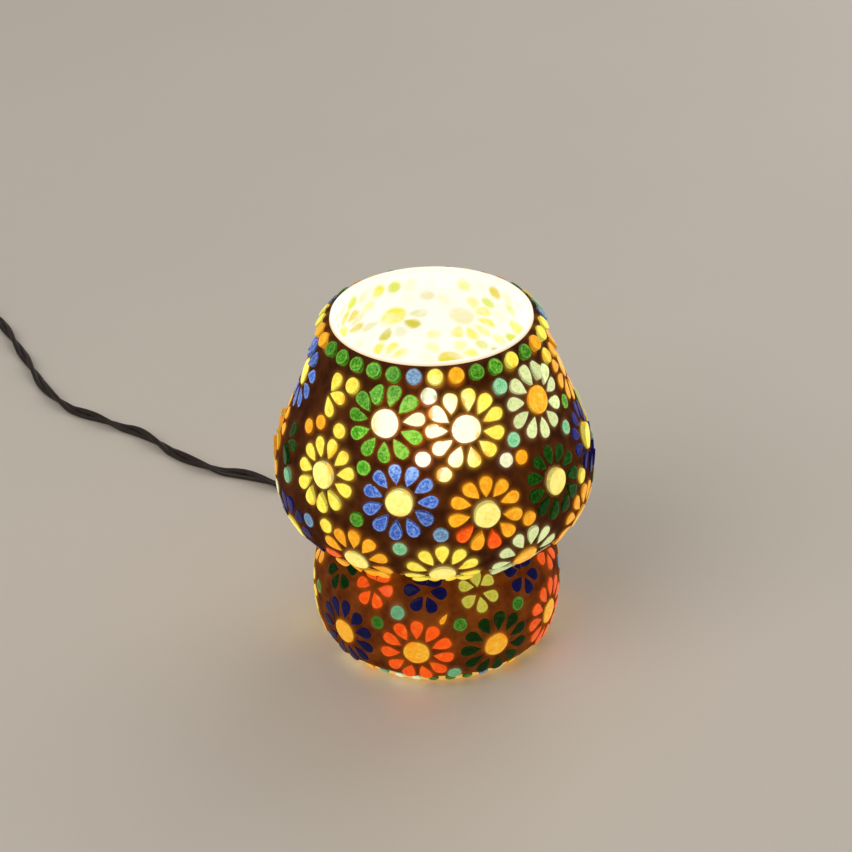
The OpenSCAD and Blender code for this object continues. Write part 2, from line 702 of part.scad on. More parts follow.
module coil_tie() {
    width = coil_rows * cord_w;
    color([0.15, 0.15, 0.15])
        translate([COIL_CENTRE.x + coil_r, COIL_CENTRE.y, coil_z - 0.9])
            difference() {
                translate([-width / 2 - 1.8, -4, 0]) cube([width + 3.6, 8, 2 * cord_w + 1.8]);
                translate([-width / 2 - 0.9, -5, 0.8]) cube([width + 1.8, 10, 2 * cord_w + 0.2]);
            }
}

// In-line switch: two shells round the cord, held by two screws, with a rocker on a steel pin
switch_x = -316;
switch_y = 327;
switch_l = 60;
switch_w = 25;
lower_h = 8;
upper_h = 8.4;
rocker_axis_z = 11.6;
rocker_tilt = 8;
rocker_w = 10.6;

module slab(length, width, height, radius) {
    linear_extrude(height) {
        square([length - 2 * radius, width], center = true);
        square([length, width - 2 * radius], center = true);
        for (x = [-1, 1], y = [-1, 1])
            translate([x * (length / 2 - radius), y * (width / 2 - radius)]) circle(r = radius);
    }
}

module at_switch(z) {
    translate([switch_x, switch_y, z]) children();
}

module at_switch_screws() {
    for (side = [-1, 1]) translate([side * 22, side * 7.2, 0]) children();
}

module cord_channel(z) {
    translate([0, 0, z]) rotate([0, 90, 0]) cylinder(h = far, r = cord_r + 0.15, center = true, $fn = 32);
}

module switch_lower() {
    color([0.09, 0.09, 0.09])
        at_switch(0)
            difference() {
                slab(switch_l, switch_w, lower_h, 6);
                translate([0, 0, 2]) slab(32, switch_w - 5, lower_h, 3);
                cord_channel(6);
                translate([-switch_l / 2 - 1, -cord_r - 0.15, 6]) cube([switch_l + 2, cord_w + 0.3, 4]);
                at_switch_screws() translate([0, 0, 2]) cylinder(h = lower_h, r = 1.25, $fn = 24);
            }
}

module switch_upper() {
    color([0.09, 0.09, 0.09])
        at_switch(lower_h + 0.05)
            difference() {
                slab(switch_l, switch_w, upper_h, 6);
                translate([0, 0, -1]) slab(32, switch_w - 7, upper_h - 0.8, 3);
                translate([-10.4, -rocker_w / 2 - 0.4, -1]) cube([20.8, rocker_w + 0.8, 12]);
                cord_channel(6 - lower_h - 0.05);
                translate([0, 0, rocker_axis_z - lower_h - 0.05])
                    rotate([90, 0, 0]) cylinder(h = 21.4, r = 1.05, center = true, $fn = 24);
                at_switch_screws() {
                    translate([0, 0, -1]) cylinder(h = 12, r = 1.6, $fn = 24);
                    translate([0, 0, upper_h - 2.2]) cylinder(h = 4, r = 2.9, $fn = 24);
                }
            }
}

module switch_rocker() {
    color([0.12, 0.12, 0.12])
        at_switch(rocker_axis_z)
            rotate([0, rocker_tilt, 0])
                difference() {
                    rotate([90, 0, 0])
                        linear_extrude(rocker_w, center = true)
                            polygon([
                                [-9.4, 1], [-9.2, 6.6], [-5, 6.1], [0, 5.5], [5, 6.1], [9.2, 6.6],
                                [9.4, 1], [4, -2.6], [-4, -2.6]
                            ]);
                    rotate([90, 0, 0]) cylinder(h = far, r = 1.05, center = true, $fn = 24);
                }
}

module rocker_pin() {
    color("silver")
        at_switch(rocker_axis_z) rotate([90, 0, 0]) cylinder(h = 21, r = 1, center = true, $fn = 24);
}

module switch_screws() {
    head_z = lower_h + upper_h - 2.1;
    color("silver")
        at_switch(0)
            at_switch_screws() {
                translate([0, 0, 3]) cylinder(h = head_z - 3, r = 1.2, $fn = 24);
                translate([0, 0, head_z])
                    difference() {
                        cylinder(h = 1.5, r = 2.6, $fn = 24);
                        translate([-3, -0.3, 0.8]) cube([6, 0.6, 1]);
                    }
            }
}

// Two-pin plug, lying flat with its pins towards the front
plug_x = -370;
plug_back_y = 176;
plug_l = 34;
plug_w = 34;
plug_h = 17;
plug_pin_r = 2.4;
plug_shank_r = 2;
plug_pin_l = 19;
plug_pin_x = 9.5;

module plug_body() {
    neck = 8.5;
    half = plug_w / 2;
    color([0.09, 0.09, 0.09])
        difference() {
            translate([plug_x, plug_back_y, 0])
                linear_extrude(plug_h)
                    polygon([
                        [-neck, 0], [-neck - 0.8, -5], [-12.5, -12], [-15, -20], [-half, -26],
                        [-half, -plug_l], [half, -plug_l], [half, -26], [15, -20], [12.5, -12],
                        [neck + 0.8, -5], [neck, 0]
                    ]);
            for (side = [-1, 1])
                translate([plug_x + side * plug_pin_x, plug_back_y - plug_l - 1, plug_h / 2])
                    rotate([-90, 0, 0]) cylinder(h = 16, r = plug_shank_r, $fn = 32);
        }
}

module plug_boot() {
    color([0.09, 0.09, 0.09])
        translate([plug_x, plug_back_y + 0.05, plug_h / 2])
            rotate([-90, 0, 0])
                rotate_extrude($fn = 32)
                    polygon([[0, 0], [6, 0], [5.6, 6], [4.4, 12], [3.6, 17.8], [0, 17.8]]);
}

// Each pin has a thinner shank, which the body is moulded on
module plug_pins() {
    shank_l = 15;
    color([0.8, 0.7, 0.4])
        for (side = [-1, 1])
            translate([plug_x + side * plug_pin_x, plug_back_y - plug_l - 0.1, plug_h / 2])
                rotate([90, 0, 0]) {
                    translate([0, 0, -shank_l]) cylinder(h = shank_l, r = plug_shank_r, $fn = 32);
                    cylinder(h = plug_pin_l - 1.1, r = plug_pin_r, $fn = 32);
                    translate([0, 0, plug_pin_l - 1.1])
                        cylinder(h = 1, r1 = plug_pin_r, r2 = plug_pin_r - 0.9, $fn = 32);
                }
}

glass_body();
shade_bed();
base_bed();
petals_yellow();
petals_orange();
petals_red();
petals_green();
petals_emerald();
petals_blue();
petals_navy();
petals_mint();
petals_olive();
discs_cream();
discs_yellow();
discs_amber();
dots_yellow();
dots_orange();
dots_green();
dots_mint();
dots_blue();
dots_white();
neck_gasket();
neck_spider();
clamp_bar();
clamp_pads();
clamp_screws();
clamp_nuts();
holder_cap();
holder_core();
holder_barrel();
shade_ring();
terminals();
plungers();
plunger_springs();
bulb_cap();
bulb_insulator();
bulb_contacts();
bulb_pins();
bulb_stem();
bulb_filament();
bulb_envelope();
cord_gland();
inner_lead();
cord_run();
cord_coil();
coil_tie();
switch_lower();
switch_upper();
switch_rocker();
rocker_pin();
switch_screws();
plug_body();
plug_boot();
plug_pins();
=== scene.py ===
"""Mosaic glass table lamp: the looks of every piece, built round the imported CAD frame."""

import json
import math
import random

import bmesh
import bpy
import numpy as np
from mathutils import Matrix, Vector, noise
from mathutils.bvhtree import BVHTree

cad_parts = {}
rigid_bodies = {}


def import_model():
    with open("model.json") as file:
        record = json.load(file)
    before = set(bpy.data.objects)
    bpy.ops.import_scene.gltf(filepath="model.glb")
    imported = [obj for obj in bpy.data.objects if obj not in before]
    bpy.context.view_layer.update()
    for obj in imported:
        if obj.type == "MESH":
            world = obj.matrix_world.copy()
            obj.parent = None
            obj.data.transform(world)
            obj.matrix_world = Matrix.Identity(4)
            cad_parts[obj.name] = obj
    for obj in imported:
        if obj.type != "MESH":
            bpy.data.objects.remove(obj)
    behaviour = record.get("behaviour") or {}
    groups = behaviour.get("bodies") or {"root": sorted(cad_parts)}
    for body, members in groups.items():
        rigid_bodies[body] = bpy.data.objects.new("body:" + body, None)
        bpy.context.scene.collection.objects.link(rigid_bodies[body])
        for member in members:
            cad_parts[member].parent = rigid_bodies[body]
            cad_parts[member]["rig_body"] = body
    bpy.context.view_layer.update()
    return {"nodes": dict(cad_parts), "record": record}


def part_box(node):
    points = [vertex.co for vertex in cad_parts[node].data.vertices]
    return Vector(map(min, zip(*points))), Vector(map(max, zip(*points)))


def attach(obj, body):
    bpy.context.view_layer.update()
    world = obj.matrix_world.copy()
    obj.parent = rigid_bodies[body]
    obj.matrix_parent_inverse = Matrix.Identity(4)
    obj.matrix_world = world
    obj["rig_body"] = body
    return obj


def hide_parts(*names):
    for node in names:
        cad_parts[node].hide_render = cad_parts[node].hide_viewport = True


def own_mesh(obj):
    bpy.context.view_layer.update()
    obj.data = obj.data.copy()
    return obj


MM = 0.001
TAU = 2 * math.pi

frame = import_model()
NODES = frame["nodes"]
SLOT_OF = {p["node"]: p["material_slot"] for p in frame["record"]["subparts"]}


# -------------------- camera, floor and lights

CAMERA_TARGET = Vector((-3.45, 0, 107)) * MM
CAMERA_DISTANCE = 1.077
CAMERA_ELEVATION = math.radians(31)
CAMERA_ROLL = math.radians(-1.28)
CAMERA_LENS = 101.4
LIT_POINT = Vector((0, 0, 0.08))


def add_camera():
    data = bpy.data.cameras.new("camera")
    data.sensor_width = 36
    data.lens = CAMERA_LENS
    camera = bpy.data.objects.new("camera", data)
    back = Vector((0, -math.cos(CAMERA_ELEVATION), math.sin(CAMERA_ELEVATION)))
    tilt = Matrix.Rotation(math.pi / 2 - CAMERA_ELEVATION, 4, "X")
    roll = Matrix.Rotation(CAMERA_ROLL, 4, "Z")
    camera.matrix_world = Matrix.Translation(CAMERA_TARGET + back * CAMERA_DISTANCE) @ tilt @ roll
    bpy.context.scene.collection.objects.link(camera)
    bpy.context.scene.camera = camera


def add_area_light(name, place, size, power, colour):
    data = bpy.data.lights.new(name, "AREA")
    data.size = size
    data.energy = power
    data.color = colour
    light = bpy.data.objects.new(name, data)
    light.location = place
    way = LIT_POINT - light.location
    light.rotation_euler = way.to_track_quat("-Z", "Y").to_euler()
    bpy.context.scene.collection.objects.link(light)


def add_studio():
    world = bpy.data.worlds.new("studio")
    world.use_nodes = True
    background = world.node_tree.nodes["Background"]
    background.inputs["Color"].default_value = (1.0, 0.975, 0.94, 1)
    background.inputs["Strength"].default_value = 0.3
    bpy.context.scene.world = world
    add_area_light("key", (-0.9, -0.9, 1.3), 1.2, 8.5, (1.0, 0.95, 0.88))
    add_area_light("rear", (0.8, 1.1, 1.2), 1.4, 6.5, (1.0, 0.96, 0.9))
    bpy.context.scene.view_settings.view_transform = "Standard"


def add_floor():
    paint = Paint("floor", Roughness=0.5)
    place = paint.place()
    tone = paint.noise(place, 0.004, 3)
    paint.to("Base Color", paint.mix(tone, srgb(232, 224, 213), srgb(240, 232, 222)))
    mesh = bpy.data.meshes.new("floor")
    corners = [(x, y, -0.0002) for x, y in ((-4, -4), (4, -4), (4, 4), (-4, 4))]
    mesh.from_pydata(corners, [], [(0, 1, 2, 3)])
    mesh.materials.append(paint.material)
    floor = bpy.data.objects.new("floor", mesh)
    bpy.context.scene.collection.objects.link(floor)


# -------------------- meshes


def add_piece(name, mesh, replaced):
    """A piece that stands for CAD nodes, with the first one's body."""
    body, slot = NODES[replaced[0]]["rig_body"], SLOT_OF[replaced[0]]
    obj = bpy.data.objects.new(name, mesh)
    bpy.context.scene.collection.objects.link(obj)
    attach(obj, body)
    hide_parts(*replaced)
    return obj


def build(name, replaced, points, faces, material, smooth_angle=40, values=None):
    """A piece from points in metres and faces, with per-vertex values as attributes."""
    mesh = bpy.data.meshes.new(name)
    mesh.from_pydata(np.asarray(points).tolist(), [], faces)
    for attribute, data in (values or {}).items():
        add_values(mesh, attribute, data)
    mesh.materials.append(material)
    mesh.shade_smooth()
    if smooth_angle < 180:
        mesh.set_sharp_from_angle(angle=math.radians(smooth_angle))
    return add_piece(name, mesh, replaced)


def add_values(mesh, name, data):
    data = np.asarray(data, np.float32)
    if data.ndim == 1:
        mesh.attributes.new(name, "FLOAT", "POINT").data.foreach_set("value", data)
    else:
        colour = np.ones((len(data), 4), np.float32)
        colour[:, :3] = data
        mesh.attributes.new(name, "FLOAT_COLOR", "POINT").data.foreach_set("color", colour.ravel())


def grid_faces(rows, columns):
    """Quads of a grid of rows, each row a ring of columns."""
    faces = []
    for row in range(0, (rows - 1) * columns, columns):
        above = row + columns
        for j in range(columns):
            k = (j + 1) % columns
            faces.append((row + j, row + k, above + k, above + j))
    return faces


def capped_faces(rows, columns):
    """Quads of a grid of rings, with a face over each end."""
    last = (rows - 1) * columns
    ends = [tuple(reversed(range(columns))), tuple(range(last, last + columns))]
    return grid_faces(rows, columns) + ends


def smooth_path(points, step):
    """A Catmull-Rom curve through points, sampled about every step."""
    p = np.asarray(points, float)
    p = np.vstack([2 * p[0] - p[1], p, 2 * p[-1] - p[-2]])
    out = []
    for a, b, c, d in zip(p[:-3], p[1:-2], p[2:-1], p[3:]):
        count = max(1, round(float(np.linalg.norm(c - b)) / step))
        square, cube = 2 * a - 5 * b + 4 * c - d, 3 * b - a - 3 * c + d
        for t in np.arange(count) / count:
            out.append(0.5 * (2 * b + (c - a) * t + square * t**2 + cube * t**3))
    out.append(p[-2])
    return np.array(out)


def run_of(path):
    """How far along a path each of its points lies."""
    return np.concatenate([[0], np.cumsum(np.linalg.norm(np.diff(path, axis=0), axis=1))])


def smooth_step(x):
    x = np.clip(x, 0, 1)
    return x * x * (3 - 2 * x)


def node_points(node):
    mesh = NODES[node].data
    co = np.empty(len(mesh.vertices) * 3)
    mesh.vertices.foreach_get("co", co)
    return co.reshape(-1, 3)


WELD = 2e-6  # points nearer than this are one, in metres
FLAT_ANGLE = math.radians(1)
CORNER_ANGLE = math.radians(35)


def softened(node, width, material):
    """A piece like a CAD node, with its edges rounded by a width in millimetres."""
    mesh = NODES[node].data.copy()
    mesh.name = node + "_soft"
    shape = bmesh.new()
    shape.from_mesh(mesh)
    bmesh.ops.remove_doubles(shape, verts=shape.verts, dist=WELD)
    bmesh.ops.dissolve_limit(shape, angle_limit=FLAT_ANGLE, verts=shape.verts, edges=shape.edges)
    shape.to_mesh(mesh)
    shape.free()
    mesh.materials.clear()
    mesh.materials.append(material)
    mesh.shade_smooth()
    obj = add_piece(node + "_soft", mesh, [node])
    bevel = obj.modifiers.new("bevel", "BEVEL")
    bevel.width = width * MM
    bevel.segments = 2
    bevel.limit_method = "ANGLE"
    bevel.angle_limit = CORNER_ANGLE
    flat = obj.modifiers.new("flat", "WEIGHTED_NORMAL")
    flat.weight = 100
    return obj


# -------------------- materials


def srgb(red, green, blue):
    """A linear colour from the usual 0 to 255 values."""
    return tuple(
        c / 12.92 if c <= 0.04045 else ((c + 0.055) / 1.055) ** 2.4
        for c in (red / 255, green / 255, blue / 255)
    )


class Paint:
    """A material with one Principled shader, and short ways to add nodes to it."""

    def __init__(self, name, **sockets):
        self.material = bpy.data.materials.new(name)
        self.material.use_nodes = True
        self.tree = self.material.node_tree
        self.shader = self.tree.nodes["Principled BSDF"]
        for socket, value in sockets.items():
            target = self.shader.inputs[socket.replace("_", " ")]
            target.default_value = (*value, 1) if isinstance(value, tuple) else value

    def node(self, kind, *inputs, out=0, **settings):
        """One output of a new node, whose settings may be sockets or properties."""
        node = self.tree.nodes.new("ShaderNode" + kind)
        for key, value in settings.items():
            if key in node.inputs:
                self.put(node.inputs[key], value)
            else:
                setattr(node, key, value)
        for socket, value in zip(node.inputs, inputs):
            self.put(socket, value)
        return node.outputs[out]

    def put(self, socket, value):
        if isinstance(value, bpy.types.NodeSocket):
            self.tree.links.new(value, socket)
        elif isinstance(value, tuple) and socket.type == "RGBA" and len(value) == 3:
            socket.default_value = (*value, 1)
        else:
            socket.default_value = value

    def to(self, socket, value):
        self.put(self.shader.inputs[socket], value)

    def value(self, name):
        """A per-vertex number."""
        return self.node("Attribute", attribute_name=name, out="Fac")

    def colour(self, name):
        """A per-vertex colour."""
        return self.node("Attribute", attribute_name=name, out="Color")

    def place(self):
        """The place on the object in millimetres."""
        where = self.node("TexCoord", out="Object")
        return self.node("VectorMath", where, (1000, 1000, 1000), operation="MULTIPLY")

    def math(self, operation, a, b=0.0):
        return self.node("Math", a, b, operation=operation)

    def times(self, first, *others):
        """The product of several values."""
        for other in others:
            first = self.math("MULTIPLY", first, other)
        return first

    def mix(self, factor, a, b, blend="MIX"):
        """Two colours mixed. The node's sockets 6 and 7 are its colours, and its output 2."""
        node = self.tree.nodes.new("ShaderNodeMix")
        node.data_type = "RGBA"
        node.blend_type = blend
        for number, value in ((0, factor), (6, a), (7, b)):
            self.put(node.inputs[number], value)
        return node.outputs[2]

    def noise(self, place, per_mm, detail=2.0, roughness=0.5, distortion=0.0):
        return self.node(
            "TexNoise", Vector=place, Scale=per_mm, Detail=detail, Roughness=roughness,
            Distortion=distortion,
        )

    def cells(self, place, per_mm):
        """Cells that each have one random colour."""
        return self.node("TexVoronoi", Vector=place, Scale=per_mm, out="Color")

    def ramp(self, factor, *stops):
        """A colour ramp from (place, colour or grey) stops."""
        node = self.tree.nodes.new("ShaderNodeValToRGB")
        elements = node.color_ramp.elements
        while len(elements) < len(stops):
            elements.new(0.5)
        for element, (where, colour) in zip(elements, stops):
            element.position = where
            rgb = colour if isinstance(colour, tuple) else (colour,) * 3
            element.color = (*rgb, 1)
        self.put(node.inputs[0], factor)
        return node.outputs[0]

    def span(self, value, low, high, out_low=0.0, out_high=1.0):
        """The value moved from one range to another, kept inside it."""
        return self.node("MapRange", value, low, high, out_low, out_high)

    def bump(self, height, strength, depth_mm):
        return self.node("Bump", Strength=strength, Distance=depth_mm * MM, Height=height)

    def glow(self, colour, strength=1.0):
        self.to("Emission Color", colour)
        self.to("Emission Strength", strength)


# -------------------- supply cord

# Sizes in millimetres
CORD_W = 5.4
CORD_CORE = CORD_W / 4
CORD_WEB = 0.62
CORD_PITCH = 74  # length of one twist
CORD_SIDES = 24
CORD_STEP = 1.5
LYING_BELOW = 6.4  # a cord whose middle is lower than this lies on something
COIL_ROWS = 4
COIL_R = 32
COIL_LOW = 3.7
COIL_HIGH = COIL_LOW + CORD_W
TURN_POINTS = 28
ROW_SHIFT = 0.3  # the last part of a turn, over which it shifts to the next row
CLIMB_START, CLIMB_PART = 0.6, 0.34  # where in a turn it climbs, and over how much of it

# The route in millimetres, as part.scad has it
TO_SWITCH = [
    (-38.5, 82.5, 12.3), (-45, 94, 8.5), (-54, 104.5, 4.2), (-67, 113, 2.7), (-82, 121, 2.7),
    (-98, 129.5, 2.7), (-115, 137, 2.7), (-130, 147, 2.7), (-146, 164, 2.7), (-160, 177, 2.7),
    (-177, 188, 2.7), (-194, 200, 2.7), (-210, 219, 2.7), (-221, 242, 2.7), (-231, 265, 2.7),
    (-241, 287, 2.7), (-251, 307, 2.9), (-263, 320, 3.6), (-276, 326, 5.2), (-286, 327, 6),
]
IN_SWITCH = [(-301, 327, 6), (-316, 327, 6), (-331, 327, 6)]
TO_COIL = [
    (-346, 327, 6), (-356, 325, 4.8), (-366, 317, 3.6), (-372, 305, 3.3), (-374, 290, 3.6),
    (-374, 276, 3.7),
]
TO_PLUG = [
    (-368.6, 268, 9.1), (-368.6, 256, 9.1), (-369, 246, 9), (-369.5, 236, 6.6), (-370, 226, 3.9),
    (-370.4, 216, 3.2), (-370.6, 207, 4.6), (-370.3, 200, 7), (-370, 194, 8.6), (-370, 184, 8.5),
]
INSIDE = [
    (-24, 51.5, 13), (-20, 43, 13), (-16, 34, 14.5), (-11, 22, 18), (-6, 11, 23), (-2, 3, 29),
    (0, 0, 36),
]
GLAND_AZIMUTH = math.radians(-155)
GLAND_AXIS = Vector((math.sin(GLAND_AZIMUTH), -math.cos(GLAND_AZIMUTH), 0))
COIL_CENTRE = (TO_COIL[-1][0] + COIL_R + (COIL_ROWS - 1) / 2 * CORD_W, TO_PLUG[0][1])


def gland_tip():
    """Where the cord leaves the gland, in metres."""
    reach = (node_points("cord_gland") @ np.array(GLAND_AXIS)).max()
    low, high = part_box("cord_gland")
    return GLAND_AXIS * float(reach) + Vector((0, 0, (low.z + high.z) / 2))


def coil_route():
    """The coil's centre line: turns inwards on the floor, a climb in the innermost row, and turns
    outwards on top of them. Each turn shifts to the next row over its last stretch."""
    rows = [COIL_R + ((COIL_ROWS - 1) / 2 - row) * CORD_W for row in range(COIL_ROWS)]
    inwards = [(row, min(row + 1, COIL_ROWS - 1)) for row in range(COIL_ROWS)]
    outwards = [(row, row - 1) for row in range(COIL_ROWS - 1, 1, -1)]
    climb = COIL_ROWS - 1
    points = []
    for turn, (first, last) in enumerate(inwards + outwards):
        for k in range(TURN_POINTS):
            part = k / TURN_POINTS
            shifted = smooth_step((part - 1 + ROW_SHIFT) / ROW_SHIFT)
            radius = rows[first] + (rows[last] - rows[first]) * shifted
            angle = math.pi + TAU * part
            climbed = float(turn > climb)
            if turn == climb:
                climbed = smooth_step((part - CLIMB_START) / CLIMB_PART)
            points.append((
                COIL_CENTRE[0] + radius * math.cos(angle),
                COIL_CENTRE[1] + radius * math.sin(angle),
                COIL_LOW + (COIL_HIGH - COIL_LOW) * climbed,
            ))
    return points


def flex_mesh(path, lie=True):
    """Points and faces of a twisted flat twin flex along a path in millimetres. Where it lies on
    something, each ring is let down until it touches."""
    tangents = np.gradient(path, axis=0)
    tangents /= np.linalg.norm(tangents, axis=1)[:, None]
    side = np.cross((0, 0, 1.0), tangents[0])
    around = np.arange(CORD_SIDES) / CORD_SIDES * TAU
    outline = np.hypot(2 * CORD_CORE * np.cos(around), CORD_WEB * np.sin(around) ** 2)
    points = []
    for p, t, s in zip(path, tangents, run_of(path)):
        side = side - t * (side @ t)
        side /= np.linalg.norm(side)
        up = np.cross(t, side)
        turn = around + TAU * s / CORD_PITCH
        ring = p + outline[:, None] * (np.cos(turn)[:, None] * side + np.sin(turn)[:, None] * up)
        if lie:
            drop = p[2] - CORD_W / 2 - ring[:, 2].min()
            ring[:, 2] += min(0, drop) * float(smooth_step((LYING_BELOW - p[2]) / 3))
        points.append(ring)
    return np.vstack(points) * MM, capped_faces(len(path), CORD_SIDES)


def cord_plastic():
    paint = Paint("cord_pvc", Roughness=0.42, Specular_IOR_Level=0.45)
    place = paint.place()
    wear = paint.noise(place, 0.25, 3)
    paint.to("Base Color", paint.ramp(wear, (0.3, srgb(26, 17, 13)), (0.7, srgb(52, 36, 27))))
    paint.to("Normal", paint.bump(paint.noise(place, 3.0, 3), 0.25, 0.1))
    return paint.material


def add_cord(material):
    exit_point = gland_tip()
    start = np.array(exit_point) / MM - 4 * np.array(GLAND_AXIS)
    route = [tuple(start), tuple(np.array(exit_point) / MM), *TO_SWITCH, *IN_SWITCH, *TO_COIL]
    path = smooth_path([*route, *coil_route(), *TO_PLUG], CORD_STEP)
    points, faces = flex_mesh(path)
    cord = build("cord", ["cord_run", "cord_coil"], points, faces, material, 50)
    return cord, exit_point, float(run_of(path)[-1]) * MM, path * MM


def add_inner_lead(material):
    points, faces = flex_mesh(smooth_path(INSIDE, CORD_STEP), lie=False)
    build("inner_lead_flex", ["inner_lead"], points, faces, material, 50)


# -------------------- where the bulb's light falls

BULB_LOW, BULB_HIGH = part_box("bulb_envelope")
BULB_R = (BULB_HIGH.x - BULB_LOW.x) / 2
BULB = np.array((0, 0, BULB_HIGH.z - BULB_R))
NECK_Z = float(sum(p.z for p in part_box("neck_gasket")) / 2)
HOT_AZIMUTH = math.radians(-4)
HOT_Z = 0.136
HOT_REACH = 0.019
FULL_LIGHT = 0.062  # how far from the bulb's middle the light is 1, in metres
LIGHT_FALL = 0.9
LIGHT_RANGE = (0.3, 1.1)
BASE_LIGHT = 0.66


def light_on(points):
    """How brightly the bulb lights the glass at each point, and how far it burns out to white
    there. It burns out in front of the bulb, a little above it."""
    away = np.linalg.norm(points - BULB, axis=1)
    level = np.where(points[:, 2] > NECK_Z, (FULL_LIGHT / away) ** LIGHT_FALL, BASE_LIGHT)
    hot_r = np.interp(HOT_Z, GLASS_OUTSIDE[:, 1], GLASS_OUTSIDE[:, 0])
    hot = np.array((hot_r * math.sin(HOT_AZIMUTH), -hot_r * math.cos(HOT_AZIMUTH), HOT_Z))
    from_hot = np.linalg.norm(points - hot, axis=1)
    return np.clip(level, *LIGHT_RANGE), np.exp(-((from_hot / HOT_REACH) ** 2))


HAIR = 2e-5  # in metres, how far rays keep from a node's ends


def radii_of(node, outside, samples=600):
    """[radius, height] up the outside or the inside of a turned CAD node, in metres."""
    mesh = NODES[node].data
    polygons = [tuple(p.vertices) for p in mesh.polygons]
    tree = BVHTree.FromPolygons([v.co for v in mesh.vertices], polygons)
    low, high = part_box(node)
    start, way = (1, -1) if outside else (0, 1)
    found = []
    for z in np.linspace(low.z + HAIR, high.z - HAIR, samples):
        hit = tree.ray_cast(Vector((start, 5 * HAIR, z)), Vector((way, 0, 0)))[0]
        if hit is not None:
            found.append((math.hypot(hit.x, hit.y), z))
    return np.array(found)


def even_steps(path, step):
    """The path resampled at about even steps."""
    lengths = run_of(path)
    at = np.linspace(0, lengths[-1], max(2, round(lengths[-1] / step) + 1))
    return np.column_stack([np.interp(at, lengths, path[:, k]) for k in (0, 1)])


def outward(path):
    """Unit normals of a path in radius and height, to its outer side."""
    t = np.gradient(path, axis=0)
    t /= np.linalg.norm(t, axis=1)[:, None]
    return np.column_stack([t[:, 1], -t[:, 0]])


def turned(path, columns):
    """Points or normals in radius and height turned round the lamp's axis, row by row."""
    angle = np.arange(columns) / columns * TAU
    r, z = path[:, 0][:, None], path[:, 1][:, None]
    x, y = r * np.sin(angle), -r * np.cos(angle)
    return np.stack([x, y, np.broadcast_to(z, x.shape)], axis=2).reshape(-1, 3)


GLASS_OUTSIDE = radii_of("glass_body", outside=True)


# -------------------- cut-glass tiles


def islands(node):
    """The separate solids of a CAD node, each as an array of points."""
    points = node_points(node)
    _, label = np.unique(np.round(points / WELD).astype(np.int64), axis=0, return_inverse=True)
    label = label.ravel()
    parent = list(range(int(label.max()) + 1))

    def root(i):
        while parent[i] != i:
            parent[i] = parent[parent[i]]
            i = parent[i]
        return i

    for a, b in NODES[node].data.edge_keys:
        parent[root(label[a])] = root(label[b])
    groups = {}
    for i, k in enumerate(label):
        groups.setdefault(root(k), []).append(i)
    return [np.unique(points[g].round(7), axis=0) for g in groups.values()]


SHADE_MIDDLE_Z = BULB[2] - 7 * MM
BASE_MIDDLE_Z = 28 * MM


def out_of_lamp(point):
    """Which way is out of the lamp at a point by its surface."""
    inner = np.array((0, 0, SHADE_MIDDLE_Z if point[2] > NECK_Z else BASE_MIDDLE_Z))
    way = point - inner
    return way / np.linalg.norm(way)


TILE_SIDES = 30
TILE_RINGS = 6
TILE_NODES = [n for n in sorted(NODES) if n.startswith(("petals_", "discs_", "dots_"))]
WOBBLE = 0.022  # how far an outline strays, as a part of its size
DROP_WIDTH = 1.54  # width of the teardrop curve sin(t) sin(t / 2)
FACE_MIDDLE = 3.0  # the distance from the edge that a face's middle is given, in millimetres
ROUGH_CUT = (0.965, 1.0)  # a tile's size, as a part of its CAD solid's
CUT_GAP = 0.02  # what the wobble is kept clear of the CAD solid by


